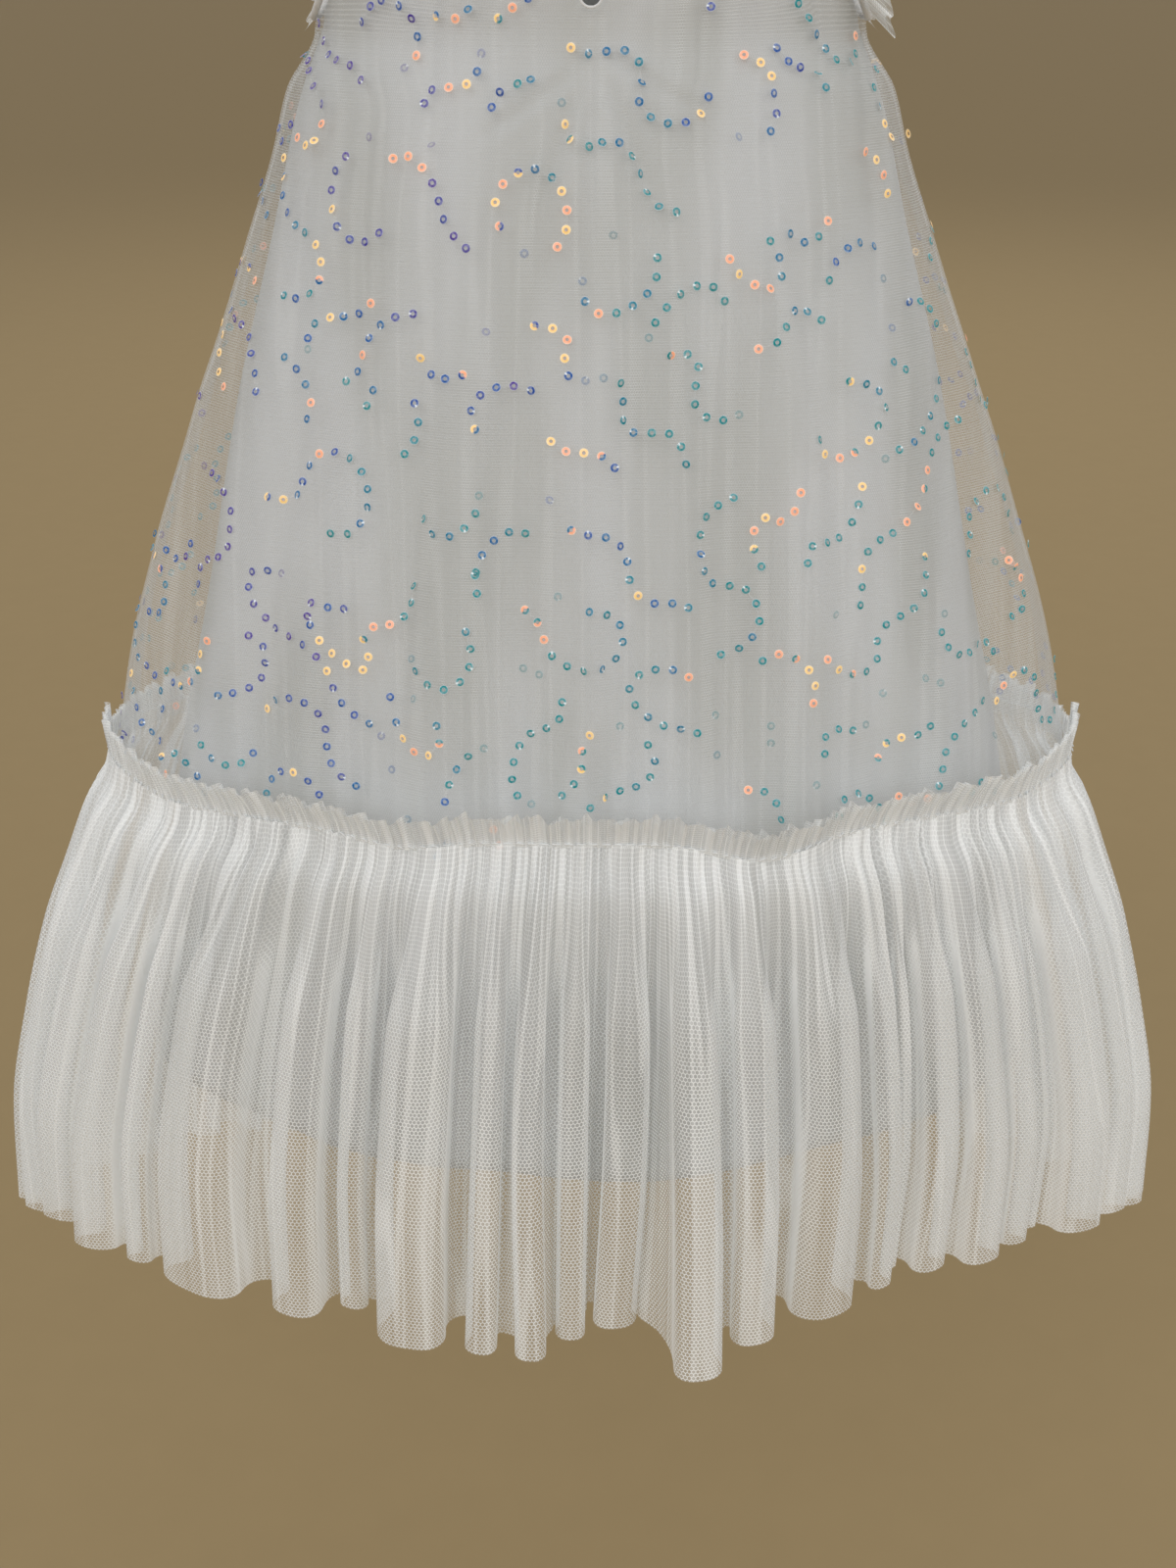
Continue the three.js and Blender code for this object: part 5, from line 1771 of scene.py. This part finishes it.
# ---- Stage ----
class DRESS_OT_stage(bpy.types.Operator):
    """Adds the floor, the soft lights and the camera"""

    bl_idname = "dress.stage"
    bl_label = "Stage"

    FLOOR_Z = -0.86
    CAMERA = Vector((-0.001, -0.696, -0.106))
    CAMERA_PITCH = math.radians(26)  # down from level
    LENS = 40.5
    ROOM_COLOUR = (0.92, 0.925, 0.93, 1)
    ROOM_STRENGTH = 0.66
    LAMP_COLOUR = (1.0, 0.995, 0.985)
    LAMP_AIM = Vector((0, 0, -0.35))
    # Each lamp's place, width, and power as a share of the key light's.
    LAMPS = {
        "key": ((-1.4, -2.9, 2.0), 3.2, 1.0),
        "fill": ((2.0, -2.5, 0.9), 3.0, 0.5),
        "back": ((0.3, 3.0, 2.2), 3.2, 0.85),
    }

    def execute(self, context):
        scene, looks = context.scene, context.scene.dress_looks
        bm = bmesh.new()
        bmesh.ops.create_grid(bm, x_segments=8, y_segments=8, size=30)
        bmesh.ops.translate(bm, vec=(0, 0, self.FLOOR_Z), verts=bm.verts)
        mesh = bpy.data.meshes.new("floor")
        bm.to_mesh(mesh)
        bm.free()
        floor = bpy.data.objects.new("floor", mesh)
        scene.collection.objects.link(floor)
        paint = Paint("floor_plaster")
        speckle = paint.remap(paint.noise(paint.objects_own(), 40.0, 4.0), 0.3, 0.7, 0.0, 1.0)
        colour = looks.floor_colour
        paint.into("Base Color", paint.blend(speckle, dimmed(colour, 0.98), with_alpha(colour)))
        paint.set(Roughness=0.9, Specular_IOR_Level=0.1)
        mesh.materials.append(paint.material)
        self.light(scene, looks)
        lens = bpy.data.cameras.new("camera")
        lens.lens = self.LENS
        lens.sensor_width = 36
        lens.sensor_fit = "AUTO"
        lens.clip_start, lens.clip_end = 0.01, 200
        camera = bpy.data.objects.new("camera", lens)
        camera.location = self.CAMERA
        camera.rotation_euler = (math.pi / 2 - self.CAMERA_PITCH, 0, 0)
        scene.collection.objects.link(camera)
        scene.camera = camera
        scene.view_settings.view_transform = "Standard"
        scene.cycles.transparent_max_bounces = 40
        return {"FINISHED"}

    def light(self, scene, looks):
        """A pale room and three large soft lamps."""
        world = bpy.data.worlds.new("room")
        world.use_nodes = True
        back = world.node_tree.nodes["Background"]
        back.inputs["Color"].default_value = self.ROOM_COLOUR
        back.inputs["Strength"].default_value = self.ROOM_STRENGTH
        scene.world = world
        for name, (place, size, share) in self.LAMPS.items():
            lamp = bpy.data.lights.new(name, "AREA")
            lamp.shape = "DISK"
            lamp.size = size
            lamp.energy = looks.lamp_power * share
            lamp.color = self.LAMP_COLOUR
            made = bpy.data.objects.new(name, lamp)
            made.location = place
            made.rotation_euler = (self.LAMP_AIM - Vector(place)).to_track_quat("-Z", "Y").to_euler()
            scene.collection.objects.link(made)


class DRESS_PT_panel(bpy.types.Panel):
    """Lists the dress's sizes, looks and pieces"""

    bl_idname = "DRESS_PT_panel"
    bl_label = "Trapeze dress"
    bl_space_type = "VIEW_3D"
    bl_region_type = "UI"
    bl_category = "Dress"

    def draw(self, context):
        layout = self.layout
        for group in (context.scene.dress_sizes, context.scene.dress_looks):
            box = layout.box()
            for name in group.__annotations__:
                box.prop(group, name)
        for operator in OPERATORS:
            layout.operator(operator.bl_idname)


OPERATORS = (
    DRESS_OT_lining,
    DRESS_OT_overlay,
    DRESS_OT_tier,
    DRESS_OT_heading,
    DRESS_OT_sleeves,
    DRESS_OT_neck,
    DRESS_OT_sequins,
    DRESS_OT_stage,
)
CLASSES = (DressSizes, DressLooks, *OPERATORS, DRESS_PT_panel)


def register():
    for each in CLASSES:
        bpy.utils.register_class(each)
    bpy.types.Scene.dress_sizes = bpy.props.PointerProperty(type=DressSizes)
    bpy.types.Scene.dress_looks = bpy.props.PointerProperty(type=DressLooks)


def unregister():
    del bpy.types.Scene.dress_looks
    del bpy.types.Scene.dress_sizes
    for each in reversed(CLASSES):
        bpy.utils.unregister_class(each)


def main():
    register()
    bpy.ops.dress.lining()
    bpy.ops.dress.overlay()
    bpy.ops.dress.tier()
    bpy.ops.dress.heading()
    bpy.ops.dress.sleeves()
    bpy.ops.dress.neck()
    bpy.ops.dress.sequins()
    bpy.ops.dress.stage()


if __name__ == "__main__":
    main()
